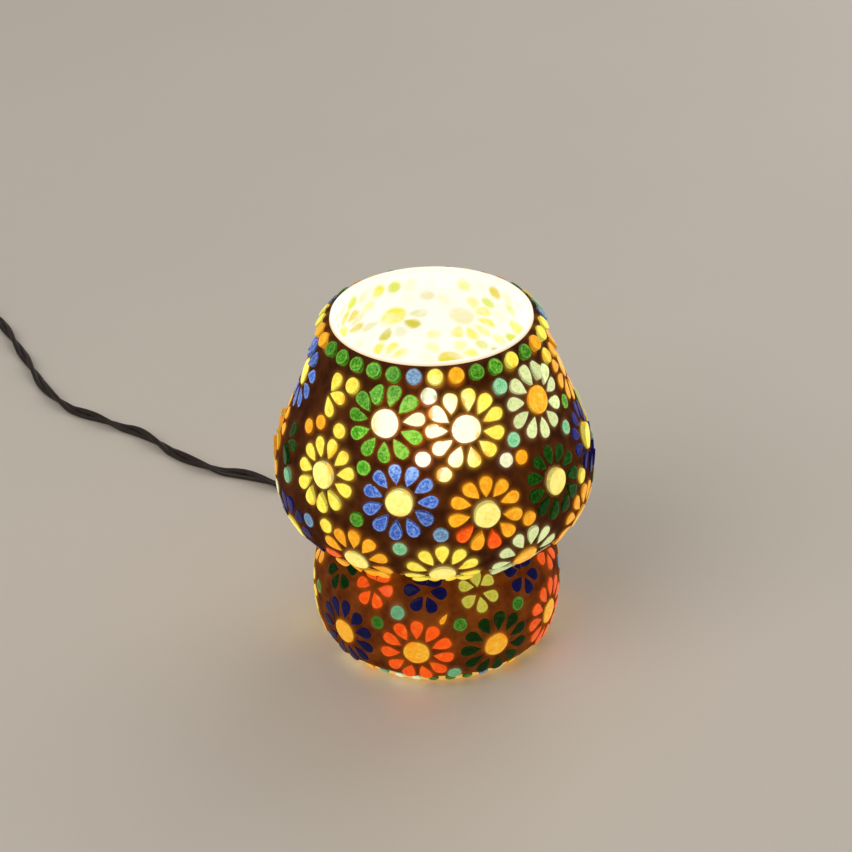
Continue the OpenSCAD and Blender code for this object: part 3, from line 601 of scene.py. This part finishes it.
class Tile:
    """One tile's place and outline, read from its CAD solid: back centre, axes and size."""

    def __init__(self, points, glass, is_round, rng):
        middle = points.mean(0)
        away = points - middle
        out = out_of_lamp(middle)
        face = points[away @ out > 0]
        _, _, axes = np.linalg.svd(face - face.mean(0))
        self.normal = axes[2] if axes[2] @ out > 0 else -axes[2]
        self.long = axes[0]
        self.across = np.cross(self.long, self.normal)
        across, length, depth = away @ self.across, away @ self.long, away @ self.normal
        if (length * across**2).sum() < 0:  # a petal's wide end is the far one
            self.long, self.across = -self.long, -self.across
            across, length = -across, -length
        self.size = np.array((np.ptp(across), np.ptp(length)))
        self.height = float(np.ptp(depth))
        self.back = (
            middle
            + self.across * (across.max() + across.min()) / 2
            + self.long * (length.max() + length.min()) / 2
            + self.normal * depth.min()
        )
        self.glass = glass
        self.is_round = is_round
        self.outline = self.cut_outline(rng)
        self.seed = rng.random()

    def cut_outline(self, rng):
        """A hand-cut outline in metres: a teardrop or a disc, never quite regular."""
        turn = (np.arange(TILE_SIDES) + 0.5) / TILE_SIDES * TAU
        wobble = sum(
            rng.uniform(-1, 1) * WOBBLE * np.cos(k * turn + rng.uniform(0, TAU)) for k in (2, 3, 5)
        )
        if self.is_round:
            shape = np.column_stack([np.sin(turn), -np.cos(turn)])
            wobble = wobble * 0.8
        else:
            width = 2 / DROP_WIDTH * np.sin(turn) * np.sin(turn / 2)
            shape = np.column_stack([width, -np.cos(turn)])
            lean = rng.uniform(-0.05, 0.05)
            shape[:, 0] += lean * (1 - shape[:, 1] ** 2)
        scale = self.size / 2 * rng.uniform(*ROUGH_CUT)
        return shape * (1 + wobble - CUT_GAP)[:, None] * scale

    def local(self, points):
        """The points' places across and along the tile."""
        away = points - self.back
        return np.column_stack([away @ self.across, away @ self.long])

    def distance(self, flat):
        """How far flat points lie outside the outline, negative inside."""
        a = self.outline
        b = np.roll(a, -1, axis=0)
        edge = b - a
        rel = flat[:, None, :] - a[None]
        t = np.clip((rel * edge).sum(2) / (edge**2).sum(1), 0, 1)
        gap = np.sqrt(((rel - t[..., None] * edge) ** 2).sum(2)).min(1)
        crosses = (a[None, :, 1] > flat[:, None, 1]) != (b[None, :, 1] > flat[:, None, 1])
        height = np.where(np.abs(edge[:, 1]) < 1e-12, 1e-12, edge[:, 1])
        at = a[None, :, 0] + (flat[:, None, 1] - a[None, :, 1]) / height * edge[:, 0]
        inside = (crosses & (flat[:, None, 0] < at)).sum(1) % 2 == 1
        return np.where(inside, -gap, gap)


def read_tiles():
    rng = random.Random(11)
    tiles = {}
    for node in TILE_NODES:
        kind, glass = node.split("_")
        found = sorted(islands(node), key=lambda p: tuple(p.mean(0).round(5)))
        tiles[node] = [Tile(p, glass, kind != "petals", rng) for p in found]
    return tiles


def tile_surface(tile, rng):
    """Rings of a tile from its hidden back to the middle of its face, with each ring's distance
    from the edge in millimetres."""
    reach = np.linalg.norm(tile.outline, axis=1)
    tilt = (rng.uniform(-0.012, 0.012), rng.uniform(-0.012, 0.012))
    height = tile.height + rng.uniform(-0.12, 0.0) * MM
    crown = rng.uniform(0.02, 0.14) * MM
    rings = [  # TILE_RINGS of them: distance from the edge in millimetres, and height
        (0.0, 0.25 * MM), (0.0, height - 0.42 * MM), (0.1, height - 0.16 * MM), (0.34, height),
        (1.1, height + crown * 0.6), (1.9, height + crown * 0.9),
    ]
    points, depths = [], []
    for inset, up in rings:
        flat = tile.outline * np.clip(1 - inset * MM / reach, 0.08, 1)[:, None]
        lift = up + flat @ tilt * (up > MM)
        sideways = flat[:, :1] * tile.across + flat[:, 1:] * tile.long
        points.append(tile.back + sideways + lift[:, None] * tile.normal)
        depths += [inset] * len(flat)
    centre = tile.back + (height + crown) * tile.normal
    return np.vstack([*points, centre]), [*depths, FACE_MIDDLE]


def tile_faces(start):
    faces = [tuple(start + i for i in face) for face in grid_faces(TILE_RINGS, TILE_SIDES)]
    last = start + (TILE_RINGS - 1) * TILE_SIDES
    centre = start + TILE_RINGS * TILE_SIDES
    faces += [(last + j, last + (j + 1) % TILE_SIDES, centre) for j in range(TILE_SIDES)]
    faces.append(tuple(start + j for j in reversed(range(TILE_SIDES))))
    return faces


def add_tiles(node, tiles, material):
    rng = random.Random(len(node) * 31 + len(tiles))
    points, faces, edge, seed = [], [], [], []
    for tile in tiles:
        surface, depths = tile_surface(tile, rng)
        faces += tile_faces(len(edge))
        points.append(surface)
        edge += depths
        seed += [tile.seed] * len(depths)
    points = np.vstack(points)
    level, hot = light_on(points)
    values = {"edge": edge, "seed": seed, "level": level, "hot": hot}
    build(node + "_cut", [node], points, faces, material, 50, values)


# Glass colours: deep, middle and bright; how grainy the glass is, how dense it is to weak light,
# and how readily it burns out to white
GLASSES = {
    "yellow": ((240, 168, 30), (252, 237, 80), (255, 252, 140), 0.25, 0.3, 1.0),
    "orange": ((228, 98, 8), (252, 172, 26), (255, 212, 66), 0.25, 0.35, 0.6),
    "red": ((222, 36, 2), (253, 92, 10), (255, 140, 34), 0.3, 0.3, 0.4),
    "green": ((10, 58, 6), (72, 162, 28), (184, 240, 94), 1.0, 2.3, 0.12),
    "emerald": ((6, 28, 2), (15, 66, 6), (56, 124, 22), 0.7, 2.9, 0.05),
    "blue": ((22, 44, 138), (66, 106, 202), (172, 206, 246), 1.0, 1.3, 0.12),
    "navy": ((8, 9, 44), (26, 27, 112), (62, 66, 176), 0.6, 3.6, 0.05),
    "mint": ((142, 180, 108), (232, 242, 166), (254, 254, 204), 0.8, 0.9, 0.25),
    "olive": ((130, 122, 30), (206, 196, 68), (228, 218, 100), 0.6, 0.3, 0.5),
    "cream": ((246, 196, 76), (255, 242, 128), (255, 252, 180), 0.3, 0.3, 1.4),
    "amber": ((243, 126, 14), (254, 186, 42), (255, 238, 100), 0.3, 0.35, 0.8),
    "white": ((186, 190, 120), (246, 244, 196), (255, 255, 240), 0.8, 0.4, 1.0),
    "steel": ((50, 92, 122), (104, 148, 184), (194, 216, 240), 1.0, 1.2, 0.4),
    "teal": ((60, 138, 88), (128, 204, 146), (200, 238, 190), 0.9, 1.1, 0.4),
}
STAINED_FROM = 0.8  # glass that burns out this readily has stains of its deep colour
DENSE_FROM = 2.5  # glass this dense has less gloss
SEED_SHIFT = 173.0  # how far tiles' patterns lie apart, in millimetres for each unit of their seed
HOT_WHITE = srgb(255, 254, 236)
GROUT_DARK = srgb(38, 20, 10)


def tile_glass(name):
    """Backlit cut glass: clouded through its depth, deeper in weak light, darker at its edge with
    painted shade where the grout meets it, with a painted bright rim just inside that edge, and
    burnt out where the bulb is close behind."""
    deep, middle, bright, grain, density, burn = GLASSES[name]
    deep, middle, bright = srgb(*deep), srgb(*middle), srgb(*bright)
    gloss = 0.4 if density > DENSE_FROM else 1.0
    paint = Paint(
        "tile_" + name, Roughness=0.22, Specular_IOR_Level=0.22 * gloss, Coat_Weight=0.08 * gloss,
        Coat_Roughness=0.08, IOR=1.45,
    )
    seed = paint.value("seed")
    place = paint.node("VectorMath", paint.place(), paint.times(seed, SEED_SHIFT), operation="ADD")
    cloud = paint.noise(place, 0.34, 4, 0.6, 0.6)
    crack = paint.cells(place, 1.25)
    flaws = paint.noise(place, 1.7, 3, 0.7)
    grainy = paint.mix(0.5, crack, flaws)
    pattern = paint.mix(0.22 + 0.4 * grain, cloud, grainy)
    hot = paint.value("hot")
    pattern = paint.math("ADD", pattern, paint.span(hot, 0.04, 0.5, 0.0, 0.16))
    body = paint.ramp(pattern, (0.25, deep), (0.5, middle), (0.74, bright))
    body = paint.mix(paint.span(seed, 0, 1, 0.0, 0.32), body, middle)
    level = paint.value("level")
    body = paint.mix(paint.span(level, 0.6, 0.9, 0.3, 0.0), body, deep)
    edge = paint.value("edge")
    ragged = paint.math("ADD", edge, paint.span(flaws, 0.3, 0.7, -0.12 - 0.2 * grain, 0.12))
    # Painted light: a bright rim just inside the tile's edge, stronger in grainy glass
    ring = paint.times(
        paint.span(ragged, 0.2, 0.5), paint.span(ragged, 0.55, 1.1, 1.0, 0.0), 0.5 * grain
    )
    body = paint.mix(ring, body, bright)
    # Painted shade: the tile's glow falls to half at its edge, as if the grout shaded it
    cut = paint.span(ragged, 0.05, 0.45 + 0.2 * grain, 0.5, 1)
    lot = paint.math("FRACT", paint.times(seed, 7.3))
    dull = paint.span(lot, 0, 1, 1.06, 1.0 - min(0.4, 0.22 * density))
    lit = paint.times(cut, paint.math("POWER", level, density), dull)
    lit = paint.math("ADD", lit, paint.times(hot, 0.35))
    body = paint.mix(1.0, body, lit, "MULTIPLY")
    body = paint.mix(paint.span(paint.times(hot, cut, burn), 0.12, 0.5), body, HOT_WHITE)
    if burn >= STAINED_FROM:
        stain = paint.span(paint.noise(place, 0.15, 2), 0.57, 0.63)
        body = paint.mix(paint.times(stain, paint.span(edge, 0.6, 2.2, 0.85, 0.1)), body, deep)
    smear = paint.math("SUBTRACT", paint.noise(place, 0.9, 3, 0.65), paint.times(edge, 0.3))
    smear = paint.span(smear, 0.63, 0.68)
    paint.glow(paint.mix(smear, body, tuple(c * 0.35 for c in GROUT_DARK)))
    paint.to("Base Color", paint.mix(smear, tuple(c * 0.22 for c in middle), GROUT_DARK))
    paint.to("Normal", paint.bump(paint.mix(0.4 * grain, cloud, grainy), 0.35, 0.25))
    return paint.material


def tile_paint(node):
    """The glass of a CAD node's tiles. Blue and mint dots have duller glass than the petals."""
    kind, glass = node.split("_")
    if kind == "dots":
        glass = {"blue": "steel", "mint": "teal"}.get(glass, glass)
    return tile_glass(glass)


# -------------------- grout and glass body


def stamp(points, path, columns, tiles, reach):
    """For a turned grid: each point's distance outside the nearest tile, up to reach, and the
    number of that tile."""
    rows = len(path)
    gap = np.full(rows * columns, reach)
    nearest = np.full(rows * columns, -1)
    step = float(np.linalg.norm(np.diff(path, axis=0), axis=1).mean())
    for number, tile in enumerate(tiles):
        size = float(np.linalg.norm(tile.outline, axis=1).max()) + reach
        r = math.hypot(tile.back[0], tile.back[1])
        row = int(np.hypot(path[:, 0] - r, path[:, 1] - tile.back[2]).argmin())
        low, high = max(0, row - int(size / step) - 1), min(rows, row + int(size / step) + 2)
        angle = math.atan2(tile.back[0], -tile.back[1]) % TAU
        half = int(size / (path[low:high, 0].min() * TAU / columns)) + 1
        middle = round(angle / TAU * columns)
        window = np.arange(middle - half, middle + half + 1) % columns
        index = (np.arange(low, high)[:, None] * columns + window[None]).ravel()
        found = tile.distance(tile.local(points[index]))
        nearer = found < gap[index]
        gap[index[nearer]] = found[nearer]
        nearest[index[nearer]] = number
    return gap, nearest


def rough(points, size, seed):
    """Noise from -1 to 1 at each point, of features about size metres across."""
    offset = Vector((seed, seed * 1.7, seed * 2.3))
    return np.array([noise.noise(Vector(p) / size + offset) for p in points])


GROUT_STEP = 0.67 * MM
GROUT_REACH = 3.2 * MM  # a tile colours the grout as far as this
GROUT_HIDDEN = 0.7 * MM  # grout further than this under a tile is left out
GROUT_FOOT = 0.85 * MM  # how far its two ends go into the bed
# In millimetres: height over the bed, sag between tiles, creep up their edges and the ends' taper
GROUT_LEVEL = 1.6
GROUT_SAG = 0.16
GROUT_CREEP = 0.37
GROUT_TAPER = 1.1
SHADE_WARMTH = 1.0  # how much light comes through the grout away from the tiles
BASE_WARMTH = 4.2


def add_grout(node, tiles, material, warmth):
    """The grout between the tiles: a real lattice with a hole for each tile, which creeps up the
    cut edges and sags between them."""
    path = even_steps(radii_of(node, outside=True), GROUT_STEP)
    columns = round(path[:, 0].max() * TAU / GROUT_STEP)
    base = turned(path, columns)
    gap, nearest = stamp(base, path, columns, tiles, GROUT_REACH)
    gap_mm = np.clip(gap / MM, 0, None)
    s = np.arange(len(path)) * GROUT_STEP / MM
    ends = smooth_step(np.minimum(s, s[::-1]) / GROUT_TAPER)
    creep, sag = np.exp(-gap_mm / 0.45), 1 - np.exp(-gap_mm / 1.6)
    height = GROUT_LEVEL + GROUT_CREEP * creep - GROUT_SAG * sag
    height += 0.1 * rough(base, 2.6 * MM, 3) + 0.05 * rough(base, 0.9 * MM, 9)
    height *= np.repeat(ends, columns)
    normal = turned(outward(path), columns)
    points = base + height[:, None] * MM * normal
    foot = base[:columns] - GROUT_FOOT * normal[:columns]
    top = base[-columns:] - GROUT_FOOT * normal[-columns:]
    points = np.vstack([foot, points, top])
    ring = np.zeros(columns, bool)
    buried = np.concatenate([ring, gap < -GROUT_HIDDEN, ring])
    faces = [f for f in grid_faces(len(path) + 2, columns) if not all(buried[i] for i in f)]
    level, hot = light_on(points)
    glow = np.array([leak_colour(t.glass) for t in tiles] + [GROUT_DARK])[nearest]
    under = np.arange(len(base))
    under = np.concatenate([under[:columns], under, under[-columns:]])
    values = {"gap": gap_mm[under], "tint": glow[under]}
    values |= {"level": level, "warm": level * warmth, "hot": hot}
    obj = build(node + "_grout", [node], points, faces, material, 180, values)
    drop_loose(obj.data)


def leak_colour(glass):
    """The light that a tile's glass passes sideways into the grout: weak and warm."""
    colour = np.array(srgb(*GLASSES[glass][1]))
    brightness = float(colour @ (0.5, 0.45, 0.05)) * max(0.0, colour[0] - colour[2])
    return 0.55 * colour * brightness + 0.45 * brightness * np.array(srgb(232, 84, 8))


def drop_loose(mesh):
    shape = bmesh.new()
    shape.from_mesh(mesh)
    bmesh.ops.delete(shape, geom=[v for v in shape.verts if not v.link_faces], context="VERTS")
    shape.to_mesh(mesh)
    shape.free()


def grout_paint():
    """Dark sanded grout that lets a little light through, mostly beside the tiles."""
    paint = Paint("grout", Roughness=0.88, Specular_IOR_Level=0.1)
    place = paint.place()
    sand = paint.noise(place, 2.6, 4, 0.7)
    stain = paint.noise(place, 0.12, 3, 0.55)
    body = paint.ramp(stain, (0.3, srgb(42, 21, 8)), (0.7, srgb(74, 42, 20)))
    body = paint.mix(0.5, body, paint.ramp(sand, (0.3, 0.35), (0.7, 0.8)), "MULTIPLY")
    paint.to("Base Color", body)
    level, broad = paint.value("level"), paint.value("warm")
    near = paint.math("EXPONENT", paint.times(paint.value("gap"), -1.5))
    warm = paint.mix(paint.span(stain, 0.35, 0.65), srgb(128, 52, 8), srgb(186, 90, 16))
    spread = paint.times(near, paint.math("ADD", paint.value("hot"), 0.04), 1.15)
    through = paint.mix(1.0, warm, paint.math("ADD", spread, paint.times(broad, 0.1)), "MULTIPLY")
    side = paint.mix(1.0, paint.colour("tint"), paint.times(near, level, 0.36), "MULTIPLY")
    paint.glow(paint.mix(1.0, through, side, "ADD"))
    paint.to("Normal", paint.bump(sand, 0.5, 0.22))
    return paint.material


# Painted colour of the shadow that each glass casts on the lamp's lit inner side
INNER_TINT = {
    "yellow": (244, 234, 60), "orange": (228, 204, 30), "red": (222, 190, 24),
    "green": (218, 226, 56), "emerald": (204, 206, 40), "blue": (226, 224, 60),
    "navy": (210, 200, 38), "mint": (242, 244, 112), "olive": (232, 230, 62),
    "cream": (244, 236, 60), "amber": (234, 214, 36), "white": (246, 248, 150),
}
GLASS_COLUMNS = 360
GLASS_OUTER_STEP = 2.0 * MM
GLASS_INNER_STEP = 1.35 * MM
RIM_ROUND = 0.8  # height of the rim's bulge, as a part of half its thickness
RIM_STEPS = 8
# The tiles' painted shadows on the glass's inner side fade out over this distance past each tile
SHADOW_REACH = 1.4 * MM  # how far outside a tile its spot fades


def add_glass_body(tiles, material):
    """The blown glass: smooth outside, rounded rim, and an inner side on which the tiles show as
    soft spots of painted shadow, in tints of their glass."""
    columns = GLASS_COLUMNS
    outer = even_steps(GLASS_OUTSIDE, GLASS_OUTER_STEP)
    inner = even_steps(radii_of("glass_body", outside=False), GLASS_INNER_STEP)
    middle, half = (outer[-1] + inner[-1]) / 2, (outer[-1] - inner[-1]) / 2
    up = np.array((-half[1], half[0])) * RIM_ROUND
    turns = np.linspace(0, math.pi, RIM_STEPS + 1)[1:-1]
    drop = np.array((0, np.linalg.norm(up)))
    bend = [middle + half * math.cos(a) + up * math.sin(a) - drop for a in turns]
    outer[-1] -= drop
    inner[-1] -= drop
    path = np.vstack([outer, bend, inner[::-1], outer[:1]])
    points = turned(path, columns)
    first = (len(outer) + len(bend)) * columns
    inside = turned(inner, columns)
    gap, nearest = stamp(inside, inner, columns, tiles, SHADOW_REACH)
    # Each tile's painted shadow has its own strength and takes its painted colour from INNER_TINT
    strength = np.array([min(1.0, max(0.0, 1.7 * t.seed - 0.3)) for t in tiles] + [0.0])[nearest]
    tile_shadow = (1 - smooth_step((gap / MM + 1.1) / 1.9)) * strength
    tint = np.array([srgb(*INNER_TINT[t.glass]) for t in tiles] + [(1.0, 1.0, 1.0)])[nearest]
    full_tile_shadow, full_tint = np.zeros(len(points)), np.ones((len(points), 3))
    flip = np.arange(len(inside)).reshape(-1, columns)[::-1].ravel()
    full_tile_shadow[first:first + len(inside)] = tile_shadow[flip]
    full_tint[first:first + len(inside)] = tint[flip]
    inner_side = np.zeros(len(points))
    inner_side[(len(outer) - 1) * columns:first + len(inside)] = 1
    level, _ = light_on(points)
    values = {"tile_shadow": full_tile_shadow, "tint": full_tint, "inner": inner_side, "level": level}
    faces = grid_faces(len(path), columns)
    build("glass_body_blown", ["glass_body"], points, faces, material, 60, values)


def opal_paint():
    """Opal glass lit from inside: burnt out on its inner side but for the tiles' painted shadows,
    soft spots in their tints, and warm where its outside is bare."""
    paint = Paint("opal_glass", Roughness=0.16, Coat_Weight=0.3, Coat_Roughness=0.05, IOR=1.45)
    place = paint.place()
    cloud = paint.noise(place, 0.09, 3, 0.6)
    inner = paint.value("inner")
    # Painted shadows of the tiles, clouded, on the lit inner side
    tile_shadows = paint.times(paint.value("tile_shadow"), paint.span(cloud, 0.34, 0.55, 0.5, 1.0))
    inside = paint.mix(tile_shadows, srgb(255, 254, 238), paint.colour("tint"))
    outside = paint.mix(cloud, srgb(252, 206, 102), srgb(246, 166, 60))
    lit = paint.mix(inner, paint.mix(1.0, outside, paint.value("level"), "MULTIPLY"), inside)
    paint.glow(lit)
    white = paint.mix(cloud, srgb(152, 138, 98), srgb(168, 152, 110))
    paint.to("Base Color", paint.mix(inner, white, srgb(44, 38, 20)))
    paint.to("Normal", paint.bump(paint.noise(place, 0.12, 2), 0.2, 0.3))
    return paint.material


# -------------------- lamp holder, clamp and bulb


def metal(name, colour, roughness, grain=1.5, tarnish=0.75):
    paint = Paint(name, Metallic=1.0)
    place = paint.place()
    scuff = paint.noise(place, grain, 4, 0.65)
    stain = paint.noise(place, 0.16, 3)
    dark = tuple(c * tarnish for c in colour)
    paint.to("Base Color", paint.mix(paint.span(stain, 0.35, 0.7), colour, dark))
    paint.to("Roughness", paint.span(scuff, 0.3, 0.7, roughness - 0.08, roughness + 0.1))
    paint.to("Normal", paint.bump(scuff, 0.12, 0.06))
    return paint.material


def moulded(name, colour, roughness, grain=2.4, depth=0.05, coat=0.0):
    paint = Paint(name, Specular_IOR_Level=0.5, Coat_Weight=coat, Coat_Roughness=0.12)
    place = paint.place()
    skin = paint.noise(place, grain, 3, 0.6)
    wear = paint.noise(place, 0.13, 4, 0.6)
    worn = tuple(min(1.0, c * 1.5 + 0.012) for c in colour)
    paint.to("Base Color", paint.mix(paint.span(wear, 0.42, 0.72), colour, worn))
    paint.to("Roughness", paint.span(wear, 0.3, 0.7, roughness - 0.06, roughness + 0.08))
    paint.to("Normal", paint.bump(skin, 0.3, depth))
    return paint.material


def bulb_glass():
    """Frosted bulb, lit: hottest round its middle."""
    paint = Paint("frosted_glass", Roughness=0.4)
    place = paint.place()
    low = float(BULB_LOW.z) / MM
    height = paint.node("SeparateXYZ", place, out="Z")
    rise = paint.span(height, low, low + 18, 0.0, 1.0)
    frost = paint.noise(place, 1.2, 2)
    colour = paint.mix(rise, srgb(255, 190, 110), srgb(255, 240, 206))
    paint.glow(paint.mix(paint.span(frost, 0.3, 0.7, 0.0, 0.06), colour, srgb(255, 226, 170)), 2.6)
    paint.to("Base Color", paint.mix(frost, srgb(236, 230, 214), srgb(246, 240, 226)))
    return paint.material


def lit_wire():
    paint = Paint("tungsten", Metallic=0.6, Roughness=0.4)
    heat = paint.noise(paint.place(), 0.8, 1)
    paint.glow(paint.mix(heat, srgb(255, 214, 140), srgb(255, 240, 200)), 5.0)
    paint.to("Base Color", paint.mix(heat, srgb(120, 112, 104), srgb(150, 142, 130)))
    return paint.material


LATHE_SIDES = 48


def add_moulding(node, profile, base, axis, material):
    """A rubber piece for a CAD node: a profile of [radius, distance] in millimetres turned round an
    axis from a base point."""
    axis = Vector(axis).normalized()
    spin = axis.to_track_quat("Z", "Y").to_matrix()
    points = []
    for r, z in profile:
        for k in range(LATHE_SIDES):
            a = k / LATHE_SIDES * TAU
            points.append(Vector(base) + spin @ Vector((r * math.cos(a), r * math.sin(a), z)) * MM)
    faces = capped_faces(len(profile), LATHE_SIDES)
    return build(node + "_moulded", [node], points, faces, material, 60)


def ribbed(profile, ribs, depth, width):
    """The profile with shallow grooves round its taper, which its last two points span."""
    (r0, z0), (r1, z1) = profile[-2:]
    out = list(profile[:-1])
    for k in range(ribs):
        middle = (k + 0.5) / ribs
        for shift, cut in ((-width, 0), (-width * 0.6, depth), (width * 0.6, depth), (width, 0)):
            t = middle + shift / ribs
            out.append((r0 + (r1 - r0) * t - cut, z0 + (z1 - z0) * t))
    out.append((r1 - 0.25, z1 - 0.02))
    return out


BULB_COLUMNS = 96


def add_bulb(glass):
    outside = radii_of("bulb_envelope", outside=True, samples=260)
    outside[:, 0] = np.clip(outside[:, 0], 0.2 * MM, None)
    path = even_steps(outside, 0.9 * MM)
    points, faces = turned(path, BULB_COLUMNS), capped_faces(len(path), BULB_COLUMNS)
    build("bulb_envelope_frosted", ["bulb_envelope"], points, faces, glass, 60)


def add_springs(material):
    """Two real helical springs under the plungers."""
    low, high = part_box("plunger_springs")
    wire, coils, sides = 0.28, 5, 8
    mean_r = (high.y - low.y) / 2 / MM - wire
    plunger_x = (high.x - low.x) / 2 / MM - mean_r - wire
    span = (high.z - low.z) / MM - 2 * wire
    points, faces = [], []
    for side in (-1, 1):
        angles = np.linspace(0, coils * TAU, coils * 24 + 1)
        path = np.column_stack([
            side * plunger_x + mean_r * np.cos(angles),
            mean_r * np.sin(angles),
            low.z / MM + wire + span * angles / angles[-1],
        ])
        start = len(points)
        tangents = np.gradient(path, axis=0)
        for p, t, a in zip(path, tangents, angles):
            out = np.array((math.cos(a), math.sin(a), 0))
            up = np.cross(out, t / np.linalg.norm(t))
            for k in range(sides):
                b = k / sides * TAU
                points.append((p + wire * (math.cos(b) * out + math.sin(b) * up)) * MM)
        faces += [tuple(start + i for i in f) for f in grid_faces(len(path), sides)]
        faces.append(tuple(start + k for k in range(sides)))
        faces.append(tuple(start + (len(path) - 1) * sides + k for k in reversed(range(sides))))
    springs = build("plunger_springs_wound", ["plunger_springs"], points, faces, material)
    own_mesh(springs)


def add_gland(material):
    reach = (node_points("cord_gland") @ np.array(GLAND_AXIS)) / MM
    start, end = float(reach.min()), float(reach.max())
    low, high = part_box("cord_gland")
    hole = 2.82
    flange = end - 22
    profile = [  # inner flange, groove for the base's wall, outer flange and taper
        (hole, start), (5.3, start), (5.6, start + 0.3), (5.6, start + 2.4), (5.3, start + 2.8),
        (3.8, start + 2.8), (3.8, flange - 0.2), (5.6, flange - 0.2), (5.9, flange + 0.1),
        (5.9, flange + 1.7), (5.6, flange + 2.0), (5.1, flange + 2.6), (3.7, end),
    ]
    profile = [*ribbed(profile, 7, 0.5, 0.26), (3.2, end), (hole, end - 0.3), (hole, start)]
    base = Vector((0, 0, (low.z + high.z) / 2))
    return add_moulding("cord_gland", profile, base, GLAND_AXIS, material)


def add_plug_boot(material):
    low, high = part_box("plug_boot")
    base = Vector(((low.x + high.x) / 2, low.y, (low.z + high.z) / 2))
    length = (high.y - low.y) / MM
    profile = [(0.4, 0), (5.6, 0), (5.9, 0.3), (5.7, 3.0), (3.7, length)]
    end = [(3.1, length), (2.85, length - 0.3), (2.85, length - 6)]
    profile = [*ribbed(profile, 6, 0.55, 0.26), *end]
    return add_moulding("plug_boot", profile, base, (0, 1, 0), material)


def add_coil_tie(material):
    """A flat strap round the coil, drawn in at its corners."""
    low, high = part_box("coil_tie")
    centre = (low + high) / 2
    half_x, half_z = (high.x - low.x) / 2 / MM, (high.z - low.z) / 2 / MM
    half, thick, corner, cut = (high.y - low.y) / MM / 2, 0.8, 3.4, 0.2
    section = [
        (-half + cut, 0), (half - cut, 0), (half, -cut), (half, -thick + cut),
        (half - cut, -thick), (-half + cut, -thick), (-half, -thick + cut), (-half, -cut),
    ]
    loop = []
    for quarter in range(4):
        turn = quarter * math.pi / 2
        sign_x, sign_z = (1, 1, -1, -1)[quarter], (1, -1, -1, 1)[quarter]
        for k in range(9):
            a = math.pi / 2 - turn - k / 8 * math.pi / 2
            loop.append((
                sign_x * (half_x - corner) + corner * math.cos(a),
                sign_z * (half_z - corner) + corner * math.sin(a),
                (math.cos(a), math.sin(a)),
            ))
    points = [
        centre + Vector((x + out[0] * down, along, z + out[1] * down)) * MM
        for x, z, out in loop
        for along, down in section
    ]
    faces = grid_faces(len(loop) + 1, len(section))
    faces = [tuple(i % len(points) for i in face) for face in faces]
    return build("coil_tie_strap", ["coil_tie"], points, faces, material)


# -------------------- the whole lamp

# Rounding of each machined or moulded piece's edges in millimetres
SOFT_EDGES = {
    "neck_gasket": 0.25, "neck_spider": 0.3, "clamp_bar": 0.3, "clamp_pads": 0.4,
    "clamp_screws": 0.12, "clamp_nuts": 0.2, "holder_cap": 0.35, "holder_core": 0.25,
    "holder_barrel": 0.25, "shade_ring": 0.3, "terminals": 0.15, "plungers": 0.2, "bulb_cap": 0.06,
    "bulb_insulator": 0.2, "bulb_contacts": 0.3, "bulb_pins": 0.15, "bulb_stem": 0.3,
    "bulb_filament": 0.05, "switch_lower": 0.7, "switch_upper": 0.7, "switch_rocker": 0.35,
    "rocker_pin": 0.1, "switch_screws": 0.12, "plug_body": 2.2, "plug_pins": 0.2,
}


def slot_materials():
    return {
        "opal_glass": opal_paint(),
        "grout": grout_paint(),
        "rubber": moulded("rubber", (0.016, 0.015, 0.014), 0.62, 3.0, 0.06),
        "steel": metal("steel", (0.62, 0.61, 0.58), 0.34),
        "bakelite": moulded("bakelite", (0.035, 0.018, 0.012), 0.24, 0.9, 0.03, 0.3),
        "porcelain": moulded("porcelain", (0.72, 0.69, 0.62), 0.2, 0.8, 0.03, 0.5),
        "brass": metal("brass", (0.78, 0.56, 0.22), 0.3),
        "aluminium": metal("aluminium", (0.8, 0.8, 0.78), 0.3, 2.2, 0.85),
        "vitrite": moulded("vitrite", (0.012, 0.012, 0.02), 0.12, 0.7, 0.03, 0.4),
        "solder": metal("solder", (0.66, 0.65, 0.62), 0.42, 2.8),
        "clear_glass": moulded("clear_glass", (0.62, 0.66, 0.62), 0.08, 0.6, 0.03, 0.5),
        "tungsten": lit_wire(),
        "frosted_glass": bulb_glass(),
        "cord_pvc": cord_plastic(),
        "tie_plastic": moulded("tie_plastic", (0.02, 0.02, 0.02), 0.55, 4.0, 0.12),
        "black_plastic": moulded("black_plastic", (0.018, 0.017, 0.017), 0.46, 3.2, 0.05),
        "rocker_plastic": moulded("rocker_plastic", (0.022, 0.021, 0.021), 0.22, 1.2, 0.02, 0.3),
    }


SPLIT_Z = NECK_Z - 4 * MM  # tiles above this are the shade's


def main():
    add_camera()
    add_studio()
    add_floor()
    finish = slot_materials()
    cord, exit_point, length, path = add_cord(finish["cord_pvc"])
    add_inner_lead(finish["cord_pvc"])
    tiles = read_tiles()
    for node, found in tiles.items():
        add_tiles(node, found, tile_paint(node))
    every = [t for found in tiles.values() for t in found]
    on_shade = [t for t in every if t.back[2] > SPLIT_Z]
    on_base = [t for t in every if t.back[2] < SPLIT_Z]
    add_grout("shade_bed", on_shade, finish["grout"], SHADE_WARMTH)
    add_grout("base_bed", on_base, finish["grout"], BASE_WARMTH)
    add_glass_body(every, finish["opal_glass"])
    add_bulb(finish["frosted_glass"])
    add_springs(finish["steel"])
    gland = add_gland(finish["rubber"])
    boot = add_plug_boot(finish["rubber"])
    tie = add_coil_tie(finish["tie_plastic"])
    soft = {n: softened(n, width, finish[SLOT_OF[n]]) for n, width in SOFT_EDGES.items()}


main()
